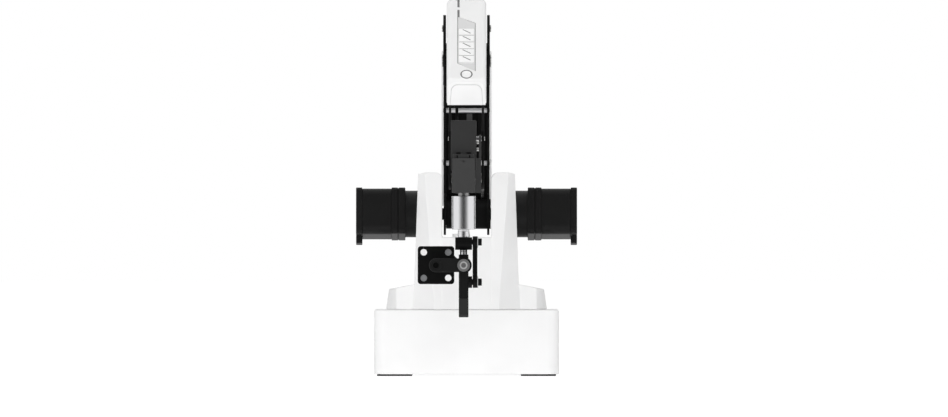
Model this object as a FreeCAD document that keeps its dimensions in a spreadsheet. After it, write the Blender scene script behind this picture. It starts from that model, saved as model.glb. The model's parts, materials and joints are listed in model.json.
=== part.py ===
import FreeCAD, Part
import Sketcher
import math
import os
from types import SimpleNamespace

# Desktop robot arm with parallel level links and an air gripper.
# Frame: Z up, the arm reaches towards -Y, X to the right seen from the front.
# The origin is on the table, under the middle of the base. Lengths in mm, angles in degrees.

doc = FreeCAD.newDocument("robot_arm")
sheet = doc.addObject("Spreadsheet::Sheet", "Sizes")

driving = {
    # clearances
    "fit_gap": 0.2,             # between a plate and the opening it sits in
    "run_gap": 0.05,            # radial, pin in a bearing bore
    "loose_gap": 0.4,           # radial, pivot that closes a linkage loop
    "side_gap": 0.5,            # between plates that turn beside each other
    "turn_gap": 0.3,            # between the base and the turret
    # base box
    "base_side": 158.0,
    "base_height": 55.0,
    "base_corner": 11.0,
    "base_wall": 3.0,
    "base_edge": 1.5,
    "floor_thick": 3.0,
    "foot_side": 30.0,
    "foot_thick": 1.5,
    "foot_round": 4.0,
    "foot_inset": 2.6,
    "mount_bolt": 4.5,
    # rear connector panel
    "panel_width": 112.0,
    "panel_height": 45.0,
    "panel_low": 4.0,
    "panel_thick": 2.0,
    "port_round": 2.0,
    "port_depth": 8.0,
    "port_reach": 2.5,
    "upper_port_width": 76.0,
    "upper_port_height": 17.0,
    "upper_port_rise": 38.0,
    "lower_port_width": 88.0,
    "lower_port_height": 14.0,
    "lower_port_rise": 13.0,
    "plug_depth": 2.0,
    "lower_plug_width": 17.6,
    "lower_plug_height": 7.0,
    "lower_plug_pitch": 27.5,
    "upper_plug_radius": 5.1,
    "upper_plug_width": 12.3,
    "upper_plug_height": 9.0,
    "upper_plug_pitch": 25.3,
    "power_radius": 4.0,
    "power_offset": 47.0,
    "power_reach": 2.5,
    "power_length": 8.0,
    # control board on its posts
    "board_width": 130.0,
    "board_depth": 30.0,
    "board_inset": 31.0,
    "board_thick": 1.6,
    "post_radius": 3.0,
    "post_height": 6.0,
    # turning drive of the turret
    "step_side": 42.3,
    "step_corner": 4.0,
    "yaw_motor_height": 34.0,
    "yaw_gear_radius": 20.0,
    "yaw_gear_height": 8.0,
    "yaw_shaft_radius": 5.0,
    "yaw_shaft_depth": 7.0,
    "slew_outer": 42.0,
    "slew_inner": 34.0,
    "slew_height": 6.0,
    "table_radius": 36.0,
    "table_thick": 4.0,
    # turret housing
    "turret_front": 67.1,
    "turret_back": 69.5,
    "tower_front": 31.3,
    "tower_back": 45.3,
    "tower_rise_front": 35.6,
    "tower_rise_back": 24.6,
    "tower_round": 10.0,
    "waist_back": 50.0,
    "waist_drop": 16.5,
    "waist_round": 4.0,
    "hip_back": 61.1,
    "hip_drop": 22.5,
    "brow_front": 50.9,
    "plinth_width": 137.8,
    "plinth_top_width": 133.0,
    "plinth_height": 17.0,
    "wing_rise": 4.0,
    "wing_front": 37.4,
    "wing_cheek": 32.5,
    "wing_cheek_width": 120.0,
    "wing_side_front": 14.0,
    "wing_side_back": 27.6,
    "wing_back": 53.0,
    "tower_foot_width": 91.0,
    "tower_top_width": 82.8,
    "facet_top_side": 5.4,
    "facet_top_front": 8.0,
    "facet_foot_side": 18.0,
    "slot_width": 42.0,
    "slot_drop": 20.0,
    "cavity_width": 76.0,
    "cavity_depth": 88.0,
    "cavity_height": 50.0,
    "cavity_round": 8.0,
    # shoulder motors
    "shoulder_height": 138.3,
    "motor_tilt": 10.0,
    "gear_radius": 20.0,
    "gear_start": 38.0,
    "flange_start": 52.5,
    "flange_side": 40.3,
    "flange_thick": 11.8,
    "flange_corner": 4.0,
    "motor_side": 39.8,
    "motor_length": 25.0,
    "motor_corner": 8.0,
    "cap_thick": 5.4,
    "cap_corner": 4.0,
    "plug_width": 11.0,
    "plug_height": 6.0,
    "shaft_radius": 5.0,
    "shaft_depth": 10.0,
    # rear arm, drawn upright about the shoulder and then tilted forward
    "arm_tilt": 6.0,
    "elbow_back": 17.1,
    "elbow_rise": 139.6,
    "arm_inside": 17.6,
    "arm_thick": 2.0,
    "arm_back": 44.0,
    "arm_shoulder_back": 51.6,
    "arm_elbow_back": 51.9,
    "arm_step": 2.8,
    "arm_low_step": 41.0,
    "arm_high_step": 94.5,
    "arm_front_top": 107.0,
    "arm_round": 18.0,
    "elbow_round": 35.0,
    "elbow_shoulder": 28.0,
    "arm_slot_back": 22.0,
    "arm_slot_low": 44.6,
    "arm_slot_high": 92.9,
    "arm_slot_radius": 7.8,
    "strut_back": 3.4,
    "strut_low": 43.5,
    "strut_high": 89.0,
    "strut_radius": 2.2,
    "arm_cover_width": 43.2,
    "arm_cover_wall": 2.0,
    "arm_cover_back": 67.6,
    "arm_cover_low": 1.4,
    "arm_cover_high": 135.0,
    "arm_cover_slope": 7.0,
    "arm_cover_lip": 12.6,
    "elbow_cap_radius": 30.3,
    "elbow_cap_thick": 1.0,
    "elbow_screw_ring": 18.7,
    "elbow_screw_turn": 14.0,
    "elbow_screw_radius": 3.0,
    "elbow_screw_thick": 1.2,
    "elbow_shaft_radius": 6.0,
    "hub_radius": 10.0,
    "hub_thick": 2.6,
    # level links and forearm drive
    "level_back": 12.7,
    "level_rise": 24.5,
    "tie_front": 32.8,
    "tie_rise": 27.9,
    "drive_back": 22.6,
    "drive_rise": 15.3,
    "link_thick": 2.5,
    "link_radius": 7.0,
    "link_width": 7.0,
    "link_pin_radius": 3.0,
    "triangle_round": 9.0,
    "crank_drum_radius": 12.8,
    "crank_pin_radius": 3.5,
    "bush_wall": 1.5,
    "bush_collar_radius": 8.0,  # collar that keeps the rod on the crank pin
    "bush_collar": 2.5,
    "anchor_thick": 4.0,
    "anchor_foot": 34.0,
    "anchor_foot_width": 15.0,
    # forearm, drawn level about the elbow and then pitched down
    "forearm_tilt": 45.0,
    "wrist_along": 163.0,
    "wrist_rise": 7.8,
    "forearm_inside": 13.0,
    "forearm_thick": 2.0,
    "forearm_low": 7.5,
    "forearm_high": 50.4,
    "forearm_nose": 155.0,
    "forearm_chin": 174.0,
    "forearm_chin_rise": 20.0,
    "forearm_elbow_round": 33.0,
    "crown_along": 7.9,
    "crown_rise": 18.7,
    "crown_round": 35.5,
    "wrist_round": 15.0,
    "wrist_lobe_rise": 4.2,
    "wrist_lobe_back": 2.8,
    "forearm_slot_start": 43.0,
    "forearm_slot_end": 121.9,
    "forearm_slot_rise": 29.0,
    "forearm_slot_radius": 6.8,
    "forearm_strut_start": 49.6,
    "forearm_strut_end": 118.6,
    "forearm_strut_rise": 10.6,
    "wrist_axle_radius": 4.0,
    # forearm cover with its sockets and release button
    "cover_width": 33.8,
    "cover_wall": 2.0,
    "cover_top": 76.0,
    "cover_start": 13.0,
    "cover_end": 112.1,
    "cover_chin_along": 128.0,
    "cover_chin_rise": 60.0,
    "cover_chin_wall": 2.8,
    "cover_round": 4.0,
    "cover_step_end": 107.2,
    "cover_step_rise": 53.3,
    "cover_step_start": 42.7,
    "cover_tail_along": 5.0,
    "cover_tail_rise": 58.7,
    "socket_count": 5.0,
    "socket_pitch": 8.2,
    "socket_start": 51.7,
    "socket_width": 12.9,
    "socket_length": 7.4,
    "socket_proud": 1.0,
    "socket_body": 6.0,
    "release_along": 106.5,
    "release_radius": 4.6,
    "release_proud": 0.8,
    "release_length": 5.0,
    "release_flange": 1.0,
    # wrist bracket and tool servo
    "tool_reach": 61.2,
    "tool_side": -2.4,
    "bracket_thick": 2.0,
    "bracket_drop": 12.9,
    "bracket_height": 29.4,
    "bracket_lobe": 8.5,
    "frame_width": 18.8,
    "frame_front": 43.3,
    "frame_back": 20.8,
    "frame_wall": 3.5,
    "frame_floor": 5.2,
    "frame_lip": 4.0,
    "frame_lip_length": 8.4,
    "servo_width": 21.5,
    "servo_length": 44.0,
    "servo_back": 10.7,
    "servo_height": 43.8,
    "servo_drop": 10.5,
    "servo_ear": 8.0,
    "servo_ear_thick": 3.5,
    "servo_ear_width": 18.0,
    "ear_screw_radius": 2.2,
    "ear_screw_thick": 1.5,
    # tool coupling
    "coupling_radius": 4.6,
    "coupling_gap": 0.4,
    "lock_ring_radius": 10.3,
    "lock_ring_height": 5.2,
    "lock_ring_drop": 6.4,
    "sleeve_radius": 10.2,
    "sleeve_height": 28.4,
    "sleeve_gap": 2.7,
    # gripper
    "grip_shaft_radius": 4.6,
    "hub_gap": 6.6,
    "hub_height": 10.6,
    "hub_width": 14.3,
    "hub_pivot": 7.5,
    "hub_pivot_drop": 4.0,
    "neck_width": 6.0,
    "neck_depth": 4.6,
    "neck_height": 4.3,
    "block_width": 7.6,
    "block_depth": 8.1,
    "block_height": 18.7,
    "grip_link_drop": 34.0,
    "grip_link_spread": 4.2,
    "grip_link_thick": 4.0,
    "grip_link_radius": 4.9,
    "grip_link_width": 4.4,
    "grip_pin_radius": 2.4,
    "grip_bolt_radius": 3.0,
    "grip_bolt_thick": 3.3,
    "jaw_width": 8.2,
    "jaw_inner": 6.0,
    "jaw_outer": 16.7,
    "jaw_top": 10.7,
    "jaw_shoulder": 26.5,
    "jaw_knuckle": 13.3,
    "jaw_knuckle_drop": 38.5,
    "jaw_palm_drop": 42.0,
    "jaw_palm_slope": 4.0,
    "jaw_tip_inner": 1.7,
    "jaw_tip_outer": 4.9,
    "jaw_tip_drop": 64.0,
    "jaw_tip_slope": 2.4,
    "notch_drop": 57.5,
    "notch_radius": 2.9,
    "jaw_bolt_drop": 19.7,
    "jaw_bolt_radius": 2.1,
    "jaw_bolt_end": 38.4,
    "jaw_bolt_start": 3.0,
    "nut_radius": 5.3,
    "nut_thick": 3.2,
    # air cylinder
    "cylinder_side": 31.0,
    "cylinder_offset": 23.5,
    "cylinder_height": 32.2,
    "cylinder_round": 2.5,
    "cylinder_length": 44.0,
    "cylinder_bore": 10.0,
    "bore_depth": 36.0,
    "end_plate_thick": 2.4,
    "end_plate_hole": 2.8,
    "hole_pitch_wide": 20.8,
    "hole_pitch_high": 21.8,
    "piston_rod_radius": 2.6,
    "piston_thick": 5.0,
    "piston_gap": 5.0,
    "crosshead_height": 11.6,
    "crosshead_thick": 2.2,
}


class Size:
    # A length or angle that knows both its sheet expression and its present number.
    def __init__(self, text, number):
        self.text = text
        self.number = number

    def join(self, sign, other, number):
        return Size("(" + self.text + sign + wrap(other).text + ")", number)

    def __add__(self, other):
        return self.join(" + ", other, self.number + wrap(other).number)

    def __sub__(self, other):
        return self.join(" - ", other, self.number - wrap(other).number)

    def __mul__(self, other):
        return self.join(" * ", other, self.number * wrap(other).number)

    def __truediv__(self, other):
        return self.join(" / ", other, self.number / wrap(other).number)

    def __radd__(self, other):
        return wrap(other) + self

    def __rsub__(self, other):
        return wrap(other) - self

    def __rmul__(self, other):
        return wrap(other) * self

    def __neg__(self):
        return Size("(-" + self.text + ")", -self.number)


def wrap(thing):
    if isinstance(thing, Size):
        return thing
    return Size(repr(float(thing)), float(thing))


def sine(angle):
    return Size("sin(" + angle.text + ")", math.sin(math.radians(angle.number)))


def cosine(angle):
    return Size("cos(" + angle.text + ")", math.cos(math.radians(angle.number)))


for row, (alias, number) in enumerate(driving.items(), start=1):
    sheet.set("A%d" % row, alias)
    sheet.set("B%d" % row, repr(number))
    sheet.setAlias("B%d" % row, alias)
doc.recompute()
s = SimpleNamespace(**{alias: Size("Sizes." + alias, number) for alias, number in driving.items()})


def bind(thing, prop, size):
    thing.setExpression(prop, wrap(size).text)


def seat(thing, y, z, turn=None):
    # Places a finished piece, turned about an axis along X.
    angle = 1.0 if turn is not None else 0.0
    thing.Placement = FreeCAD.Placement(FreeCAD.Vector(), FreeCAD.Rotation(FreeCAD.Vector(1, 0, 0), angle))
    bind(thing, "Placement.Base.y", y)
    bind(thing, "Placement.Base.z", z)
    if turn is not None:
        bind(thing, "Placement.Rotation.Angle", turn)


# Sketch loops: each takes the sketch and draws one closed, fully bound loop.

def pin_point(sketch, geometry, point, u, v):
    across = sketch.addConstraint(Sketcher.Constraint("DistanceX", -1, 1, geometry, point, u.number))
    up = sketch.addConstraint(Sketcher.Constraint("DistanceY", -1, 1, geometry, point, v.number))
    bind(sketch, "Constraints[%d]" % across, u)
    bind(sketch, "Constraints[%d]" % up, v)


def pin_radius(sketch, geometry, radius):
    index = sketch.addConstraint(Sketcher.Constraint("Radius", geometry, radius.number))
    bind(sketch, "Constraints[%d]" % index, radius)


def disc(u, v, radius):
    u, v, radius = wrap(u), wrap(v), wrap(radius)

    def draw(sketch):
        centre = FreeCAD.Vector(u.number, v.number, 0)
        circle = sketch.addGeometry(Part.Circle(centre, FreeCAD.Vector(0, 0, 1), radius.number), False)
        pin_point(sketch, circle, 3, u, v)
        pin_radius(sketch, circle, radius)
    return draw


def corners(*points):
    points = [(wrap(u), wrap(v)) for u, v in points]

    def draw(sketch):
        spots = [FreeCAD.Vector(u.number, v.number, 0) for u, v in points]
        lines = []
        for start, end in zip(spots, spots[1:] + spots[:1]):
            lines.append(sketch.addGeometry(Part.LineSegment(start, end), False))
        for line, following in zip(lines, lines[1:] + lines[:1]):
            sketch.addConstraint(Sketcher.Constraint("Coincident", line, 2, following, 1))
        for line, (u, v) in zip(lines, points):
            pin_point(sketch, line, 1, u, v)
    return draw


def belt(*circles):
    # Arcs about the circles, given counter-clockwise, joined by their outer tangent lines.
    circles = [(wrap(u), wrap(v), wrap(radius)) for u, v, radius in circles]

    def tangent(first, second):
        run = second[0].number - first[0].number
        rise = second[1].number - first[1].number
        length = math.hypot(run, rise)
        lean = (first[2].number - second[2].number) / length
        square = math.sqrt(1 - lean * lean)
        return ((rise * square + run * lean) / length, (-run * square + rise * lean) / length)

    def draw(sketch):
        after = circles[1:] + circles[:1]
        leaving = [tangent(first, second) for first, second in zip(circles, after)]
        arriving = leaving[-1:] + leaving[:-1]
        arcs = []
        for (u, v, radius), start, end in zip(circles, arriving, leaving):
            centre = FreeCAD.Vector(u.number, v.number, 0)
            circle = Part.Circle(centre, FreeCAD.Vector(0, 0, 1), radius.number)
            first = math.atan2(start[1], start[0])
            last = math.atan2(end[1], end[0])
            if last <= first:
                last += 2 * math.pi
            arcs.append(sketch.addGeometry(Part.ArcOfCircle(circle, first, last), False))
        lines = []
        for (one, other), way in zip(zip(circles, after), leaving):
            ends = []
            for u, v, radius in (one, other):
                ends.append(FreeCAD.Vector(u.number + radius.number * way[0],
                                           v.number + radius.number * way[1], 0))
            lines.append(sketch.addGeometry(Part.LineSegment(*ends), False))
        for arc, line, following in zip(arcs, lines, arcs[1:] + arcs[:1]):
            sketch.addConstraint(Sketcher.Constraint("Tangent", arc, 2, line, 1))
            sketch.addConstraint(Sketcher.Constraint("Tangent", line, 2, following, 1))
        for arc, (u, v, radius) in zip(arcs, circles):
            pin_point(sketch, arc, 3, u, v)
            pin_radius(sketch, arc, radius)
    return draw


def rounded(u, v, wide, high, radius):
    right = u + wide / 2 - radius
    left = u - wide / 2 + radius
    top = v + high / 2 - radius
    bottom = v - high / 2 + radius
    return belt((left, bottom, radius), (right, bottom, radius), (right, top, radius), (left, top, radius))


def rectangle(left, right, bottom, top):
    return corners((left, bottom), (right, bottom), (right, top), (left, top))


# Features of a body. Plane "XY" is drawn in x, y and grows up, "YZ" in y, z and grows along +X,
# and "XZ" in x, z and grows forward, towards -Y, so its offsets are counted forward.

nodes = []


def new_body(label):
    body = doc.addObject("PartDesign::Body", label)
    body.Label = label
    nodes.append(body)
    return body


def new_sketch(body, plane, offset, loops):
    role = plane + "_Plane"
    support = [item for item in body.Origin.OriginFeatures if item.Role == role][0]
    sketch = body.newObject("Sketcher::SketchObject", body.Label + "_outline")
    sketch.AttachmentSupport = [(support, "")]
    sketch.MapMode = "FlatFace"
    bind(sketch, "AttachmentOffset.Base.z", offset)
    for draw in loops:
        draw(sketch)
    return sketch


def pad(body, plane, low, high, *loops):
    sketch = new_sketch(body, plane, low, loops)
    feature = body.newObject("PartDesign::Pad", body.Label + "_pad")
    feature.Profile = sketch
    bind(feature, "Length", wrap(high) - low)
    return feature


def pocket(body, plane, low, high, *loops):
    sketch = new_sketch(body, plane, high, loops)
    feature = body.newObject("PartDesign::Pocket", body.Label + "_pocket")
    feature.Profile = sketch
    bind(feature, "Length", wrap(high) - low)
    return feature


def round_edges(body, radius, wanted):
    doc.recompute()
    base = body.Tip
    chosen = []
    for index, edge in enumerate(base.Shape.Edges, start=1):
        if wanted(edge):
            chosen.append("Edge%d" % index)
    feature = body.newObject("PartDesign::Fillet", body.Label + "_fillet")
    feature.Base = (base, chosen)
    bind(feature, "Radius", radius)
    return feature


def along(edge, direction):
    if edge.Curve.TypeId != "Part::GeomLine":
        return False
    return abs(abs(edge.Curve.Direction.dot(FreeCAD.Vector(*direction))) - 1) < 1e-6


def mirrored_span(sign, inner, outer):
    return (inner, outer) if sign > 0 else (-outer, -inner)


sides = (("left", -1), ("right", 1))


# Key heights and pivots, with y counted to the rear.

base_low = s.foot_thick
base_top = base_low + s.base_height
floor_top = base_low + s.floor_thick
turret_low = base_top + s.turn_gap
board_middle = s.base_side / 2 - s.board_inset
shoulder_z = s.shoulder_height
elbow_y = s.elbow_back * cosine(s.arm_tilt) - s.elbow_rise * sine(s.arm_tilt)
elbow_z = shoulder_z + s.elbow_back * sine(s.arm_tilt) + s.elbow_rise * cosine(s.arm_tilt)
wrist_y = elbow_y - s.wrist_along * cosine(s.forearm_tilt) - s.wrist_rise * sine(s.forearm_tilt)
wrist_z = elbow_z - s.wrist_along * sine(s.forearm_tilt) + s.wrist_rise * cosine(s.forearm_tilt)
tool_x = s.tool_side
tool_y = wrist_y - s.tool_reach


# Base

def foot_places():
    reach = s.base_side / 2 - s.foot_inset - s.foot_side / 2
    return [(-reach, -reach), (reach, -reach), (reach, reach), (-reach, reach)]


def make_base_shell():
    body = new_body("base_shell")
    inside = s.base_side - 2 * s.base_wall
    pad(body, "XY", base_low, base_top, rounded(0, 0, s.base_side, s.base_side, s.base_corner))
    top = base_top.number
    round_edges(body, s.base_edge, lambda edge: abs(edge.BoundBox.ZMin - top) < 1e-6)
    pocket(body, "XY", base_low, base_top - s.base_wall,
           rounded(0, 0, inside, inside, s.base_corner - s.base_wall))
    pocket(body, "XY", base_top - s.base_wall, base_top, disc(0, 0, s.slew_outer + s.fit_gap))
    window_low = base_low + s.panel_low
    pocket(body, "XZ", -s.base_side / 2, s.base_wall - s.base_side / 2,
           rectangle(-s.panel_width / 2, s.panel_width / 2, window_low, window_low + s.panel_height))


def board_posts():
    wide = s.board_width / 2 - 2 * s.post_radius
    deep = s.board_depth / 2 - s.post_radius
    return [(x, board_middle + y) for x in (-wide, wide) for y in (-deep, deep)]


def make_base_plate():
    body = new_body("base_plate")
    side = s.base_side - 2 * s.base_wall - 2 * s.fit_gap
    holes = [disc(x, y, s.mount_bolt / 2) for x, y in foot_places()]
    pad(body, "XY", base_low, floor_top,
        rounded(0, 0, side, side, s.base_corner - s.base_wall), *holes)
    posts = [disc(x, y, s.post_radius) for x, y in board_posts()]
    pad(body, "XY", floor_top, floor_top + s.post_height, *posts)


def make_foot_pads():
    body = new_body("foot_pads")
    loops = []
    for x, y in foot_places():
        loops.append(rounded(x, y, s.foot_side, s.foot_side, s.foot_round))
        loops.append(disc(x, y, s.mount_bolt / 2))
    pad(body, "XY", 0, s.foot_thick, *loops)


def port_loops(grow):
    upper = rounded(0, base_low + s.upper_port_rise, s.upper_port_width + 2 * grow,
                    s.upper_port_height + 2 * grow, s.port_round)
    lower = rounded(0, base_low + s.lower_port_rise, s.lower_port_width + 2 * grow,
                    s.lower_port_height + 2 * grow, s.port_round)
    return upper, lower


def make_rear_panel():
    body = new_body("rear_panel")
    low = base_low + s.panel_low + s.fit_gap
    high = base_low + s.panel_low + s.panel_height - s.fit_gap
    half = s.panel_width / 2 - s.fit_gap
    back = -s.base_side / 2
    button = disc(s.power_offset, base_low + s.upper_port_rise, s.power_radius + s.run_gap)
    pad(body, "XZ", back, back + s.panel_thick, rectangle(-half, half, low, high),
        button, *port_loops(s.fit_gap))


def make_rear_ports():
    body = new_body("rear_ports")
    back = -s.base_side / 2
    pad(body, "XZ", back - s.port_reach, back + s.port_depth - s.port_reach, *port_loops(wrap(0)))
    lower = base_low + s.lower_port_rise
    upper = base_low + s.upper_port_rise
    sockets = [disc(-s.upper_plug_pitch, upper, s.upper_plug_radius)]
    for step in (-1, 0, 1):
        sockets.append(rounded(step * s.lower_plug_pitch, lower, s.lower_plug_width,
                               s.lower_plug_height, s.port_round))
    for step in (0, 1):
        sockets.append(rounded(step * s.upper_plug_pitch, upper, s.upper_plug_width,
                               s.upper_plug_height, s.port_round))
    pocket(body, "XZ", back - s.port_reach, back - s.port_reach + s.plug_depth, *sockets)
    body.Tip.Reversed = True
    bind(body.Tip.Profile[0], "AttachmentOffset.Base.z", back - s.port_reach)


def make_power_button():
    body = new_body("power_button")
    back = -s.base_side / 2
    middle = base_low + s.upper_port_rise
    pad(body, "XZ", back - s.power_reach, back + s.power_length - s.power_reach,
        disc(s.power_offset, middle, s.power_radius))


def make_control_board():
    body = new_body("control_board")
    low = floor_top + s.post_height
    pad(body, "XY", low, low + s.board_thick,
        rounded(0, board_middle, s.board_width, s.board_depth, s.port_round))


def make_yaw_drive():
    motor = new_body("yaw_motor")
    motor_top = floor_top + s.yaw_motor_height
    pad(motor, "XY", floor_top, motor_top, rounded(0, 0, s.step_side, s.step_side, s.step_corner))
    gearbox = new_body("yaw_gearbox")
    pad(gearbox, "XY", motor_top, motor_top + s.yaw_gear_height,
        disc(0, 0, s.yaw_gear_radius), disc(0, 0, s.yaw_shaft_radius + s.run_gap))
    ring = new_body("slew_ring")
    pad(ring, "XY", base_top - s.slew_height, base_top,
        disc(0, 0, s.slew_outer), disc(0, 0, s.slew_inner + s.run_gap))


# Turret

def make_turntable():
    body = new_body("turntable")
    gear_top = floor_top + s.yaw_motor_height + s.yaw_gear_height
    hub_low = gear_top + s.turn_gap
    pad(body, "XY", hub_low, turret_low, disc(0, 0, s.slew_inner))
    pad(body, "XY", turret_low, turret_low + s.table_thick, disc(0, 0, s.table_radius))
    pad(body, "XY", hub_low - s.yaw_shaft_depth, hub_low, disc(0, 0, s.yaw_shaft_radius))


def turret_form(name):
    # A shape that goes into the housing and is no piece of its own.
    return doc.addObject("PartDesign::Body", "turret_" + name)


def joined(kind, name, *shapes):
    thing = doc.addObject(kind, "turret_" + name)
    if kind == "Part::MultiFuse":
        thing.Shapes = list(shapes)
    else:
        thing.Base, thing.Tool = shapes
    return thing


def crosswise(edge, y, z):
    start = edge.Vertexes[0].Point
    return along(edge, (1, 0, 0)) and abs(start.y - y.number) < 1e-6 and abs(start.z - z.number) < 1e-6


def make_towers(half, crest):
    side = turret_form("side_form")
    top_back = (s.tower_back, shoulder_z + s.tower_rise_back)
    waist = (s.waist_back, shoulder_z - s.waist_drop)
    pad(side, "YZ", -half, half, corners(
        (-s.turret_front, turret_low), (s.turret_back, turret_low),
        (s.hip_back, shoulder_z - s.hip_drop), waist, top_back,
        (-s.tower_front, shoulder_z + s.tower_rise_front)))
    round_edges(side, s.tower_round, lambda edge: crosswise(edge, *top_back))
    round_edges(side, s.waist_round, lambda edge: crosswise(edge, *waist))
    front = turret_form("front_form")
    pad(front, "XZ", -s.turret_back, s.turret_front, corners(
        (-s.tower_foot_width / 2, turret_low), (s.tower_foot_width / 2, turret_low),
        (s.tower_top_width / 2, crest), (-s.tower_top_width / 2, crest)))
    return joined("Part::Common", "towers", side, front)


def make_wings(half):
    # The low shoulders beside the towers, cut off at their corners.
    wing = turret_low + s.plinth_height
    shelf = wing + s.wing_rise
    cheek = s.wing_cheek_width / 2
    foot = s.tower_foot_width / 2
    plan = turret_form("wing_plan")
    pad(plan, "XY", turret_low, shelf, corners(
        (-foot, -s.wing_front), (foot, -s.wing_front), (cheek, -s.wing_cheek),
        (half, -s.wing_side_front), (half, s.wing_side_back), (cheek, s.wing_back),
        (-cheek, s.wing_back), (-half, s.wing_side_back), (-half, -s.wing_side_front),
        (-cheek, -s.wing_cheek)))
    face = turret_form("wing_face")
    pad(face, "XZ", -s.turret_back, s.turret_front, corners(
        (-half, turret_low), (half, turret_low), (s.plinth_top_width / 2, wing), (foot, shelf),
        (-foot, shelf), (-s.plinth_top_width / 2, wing)))
    return joined("Part::Common", "wings", plan, face)


def make_facet(name, sign):
    # A wedge that cuts the front outer corner of a tower, wide at its foot.
    body = turret_form(name + "_facet")
    grow = s.facet_foot_side / s.facet_top_side
    tower_top = shoulder_z + s.tower_rise_front
    levels = ((turret_low, s.tower_foot_width / 2, s.turret_front, grow),
              (tower_top, s.tower_top_width / 2, s.tower_front, wrap(1)))
    sections = []
    for level, side, front, share in levels:
        wide = s.facet_top_side * share
        deep = s.facet_top_front * share
        inner = sign * (side - 2 * wide)
        outer = sign * (side + wide)
        sections.append(new_sketch(body, "XY", level, [corners(
            (inner, -front - deep), (outer, -front - deep), (outer, 2 * deep - front))]))
    loft = body.newObject("PartDesign::AdditiveLoft", body.Label + "_loft")
    loft.Profile = sections[0]
    loft.Sections = sections[1:]
    loft.Ruled = True
    return body


def make_turret_shell():
    half = s.plinth_width / 2
    slot_floor = shoulder_z - s.slot_drop
    tower_top = shoulder_z + s.tower_rise_front
    crest = tower_top + s.tower_round
    brow = turret_form("brow_form")
    pad(brow, "YZ", -s.slot_width / 2, s.slot_width / 2, corners(
        (-s.turret_front, turret_low), (0, turret_low), (0, slot_floor), (-s.brow_front, slot_floor)))
    towers = make_towers(half, tower_top)
    for name, sign in sides:
        towers = joined("Part::Cut", name + "_facet_cut", towers, make_facet(name, sign))
    block = joined("Part::MultiFuse", "block", towers, make_wings(half), brow)
    hollow = turret_form("hollow_form")
    pad(hollow, "YZ", -s.slot_width / 2, s.slot_width / 2, rectangle(
        -s.turret_front, s.turret_back, slot_floor, crest))
    cavity = turret_form("cavity_form")
    pad(cavity, "XY", turret_low, turret_low + s.cavity_height,
        rounded(0, 0, s.cavity_width, s.cavity_depth, s.cavity_round))
    bores = turret_form("bore_form")
    pad(bores, "YZ", -half, half, disc(0, shoulder_z, s.shaft_radius + s.turn_gap))
    for name, sign in sides:
        low, high = mirrored_span(sign, s.gear_start, half)
        pad(bores, "YZ", low, high, disc(0, shoulder_z, s.gear_radius + s.fit_gap))
    cuts = joined("Part::MultiFuse", "cuts", hollow, cavity, bores)
    carved = joined("Part::Cut", "carved", block, cuts)
    carved.Label = "turret_shell"
    nodes.append(carved)


def make_anchor_bracket():
    # Stands on the slot floor and holds the lower pin of the rear level link.
    body = new_body("anchor_bracket")
    slot_floor = shoulder_z - s.slot_drop
    right = -anchor_plane()
    left = right - s.anchor_thick
    pin_z = shoulder_z + s.level_rise
    pad(body, "YZ", left, right, belt(
        (s.level_back, pin_z, s.link_radius),
        (s.level_back - s.link_radius, slot_floor + s.link_pin_radius, s.link_pin_radius),
        (s.level_back + s.link_radius, slot_floor + s.link_pin_radius, s.link_pin_radius)))
    pad(body, "XY", slot_floor, slot_floor + s.link_pin_radius,
        rounded((left + right) / 2, s.level_back, s.anchor_foot_width, s.anchor_foot, s.link_pin_radius))
    pad(body, "YZ", left - s.side_gap - s.link_thick, left, disc(s.level_back, pin_z, s.link_pin_radius))


def make_shoulder_motor(name, sign):
    gearbox = new_body(name + "_gearbox")
    low, high = mirrored_span(sign, s.gear_start, s.flange_start)
    bore = disc(0, 0, s.shaft_radius + s.run_gap)
    pad(gearbox, "YZ", low, high, disc(0, 0, s.gear_radius), bore)
    flange_end = s.flange_start + s.flange_thick
    low, high = mirrored_span(sign, s.flange_start, flange_end)
    pad(gearbox, "YZ", low, high, rounded(0, 0, s.flange_side, s.flange_side, s.flange_corner))
    seat(gearbox, 0, shoulder_z, -s.motor_tilt)
    motor = new_body(name + "_motor")
    motor_end = flange_end + s.motor_length
    low, high = mirrored_span(sign, flange_end, motor_end)
    pad(motor, "YZ", low, high, rounded(0, 0, s.motor_side, s.motor_side, s.motor_corner))
    seat(motor, 0, shoulder_z, -s.motor_tilt)
    cap = new_body(name + "_motor_cap")
    low, high = mirrored_span(sign, motor_end, motor_end + s.cap_thick)
    half = s.flange_side / 2
    pad(cap, "YZ", low, high, rounded(0, 0, s.flange_side, s.flange_side, s.cap_corner))
    pad(cap, "YZ", low, high, rectangle(-s.plug_width / 2, s.plug_width / 2,
                                        -half - s.plug_height, -half + s.cap_corner))
    seat(cap, 0, shoulder_z, -s.motor_tilt)


# Rear arm: sketches in y, z about the shoulder, before the tilt

def seat_rear_arm(body):
    seat(body, 0, shoulder_z, s.arm_tilt)


def rear_arm_edge(gap):
    # The stepped rear edge of the plates, from the shoulder up, moved back by the gap.
    return [
        (s.arm_shoulder_back + gap, s.arm_cover_low),
        (s.arm_back + s.arm_step + gap, s.arm_low_step - s.arm_step / 2),
        (s.arm_back + gap, s.arm_low_step + s.arm_step / 2),
        (s.arm_back + gap, s.arm_high_step - s.arm_step / 2),
        (s.arm_back + s.arm_step + gap, s.arm_high_step + s.arm_step / 2),
        (s.arm_elbow_back + gap, s.arm_cover_high),
    ]


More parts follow.
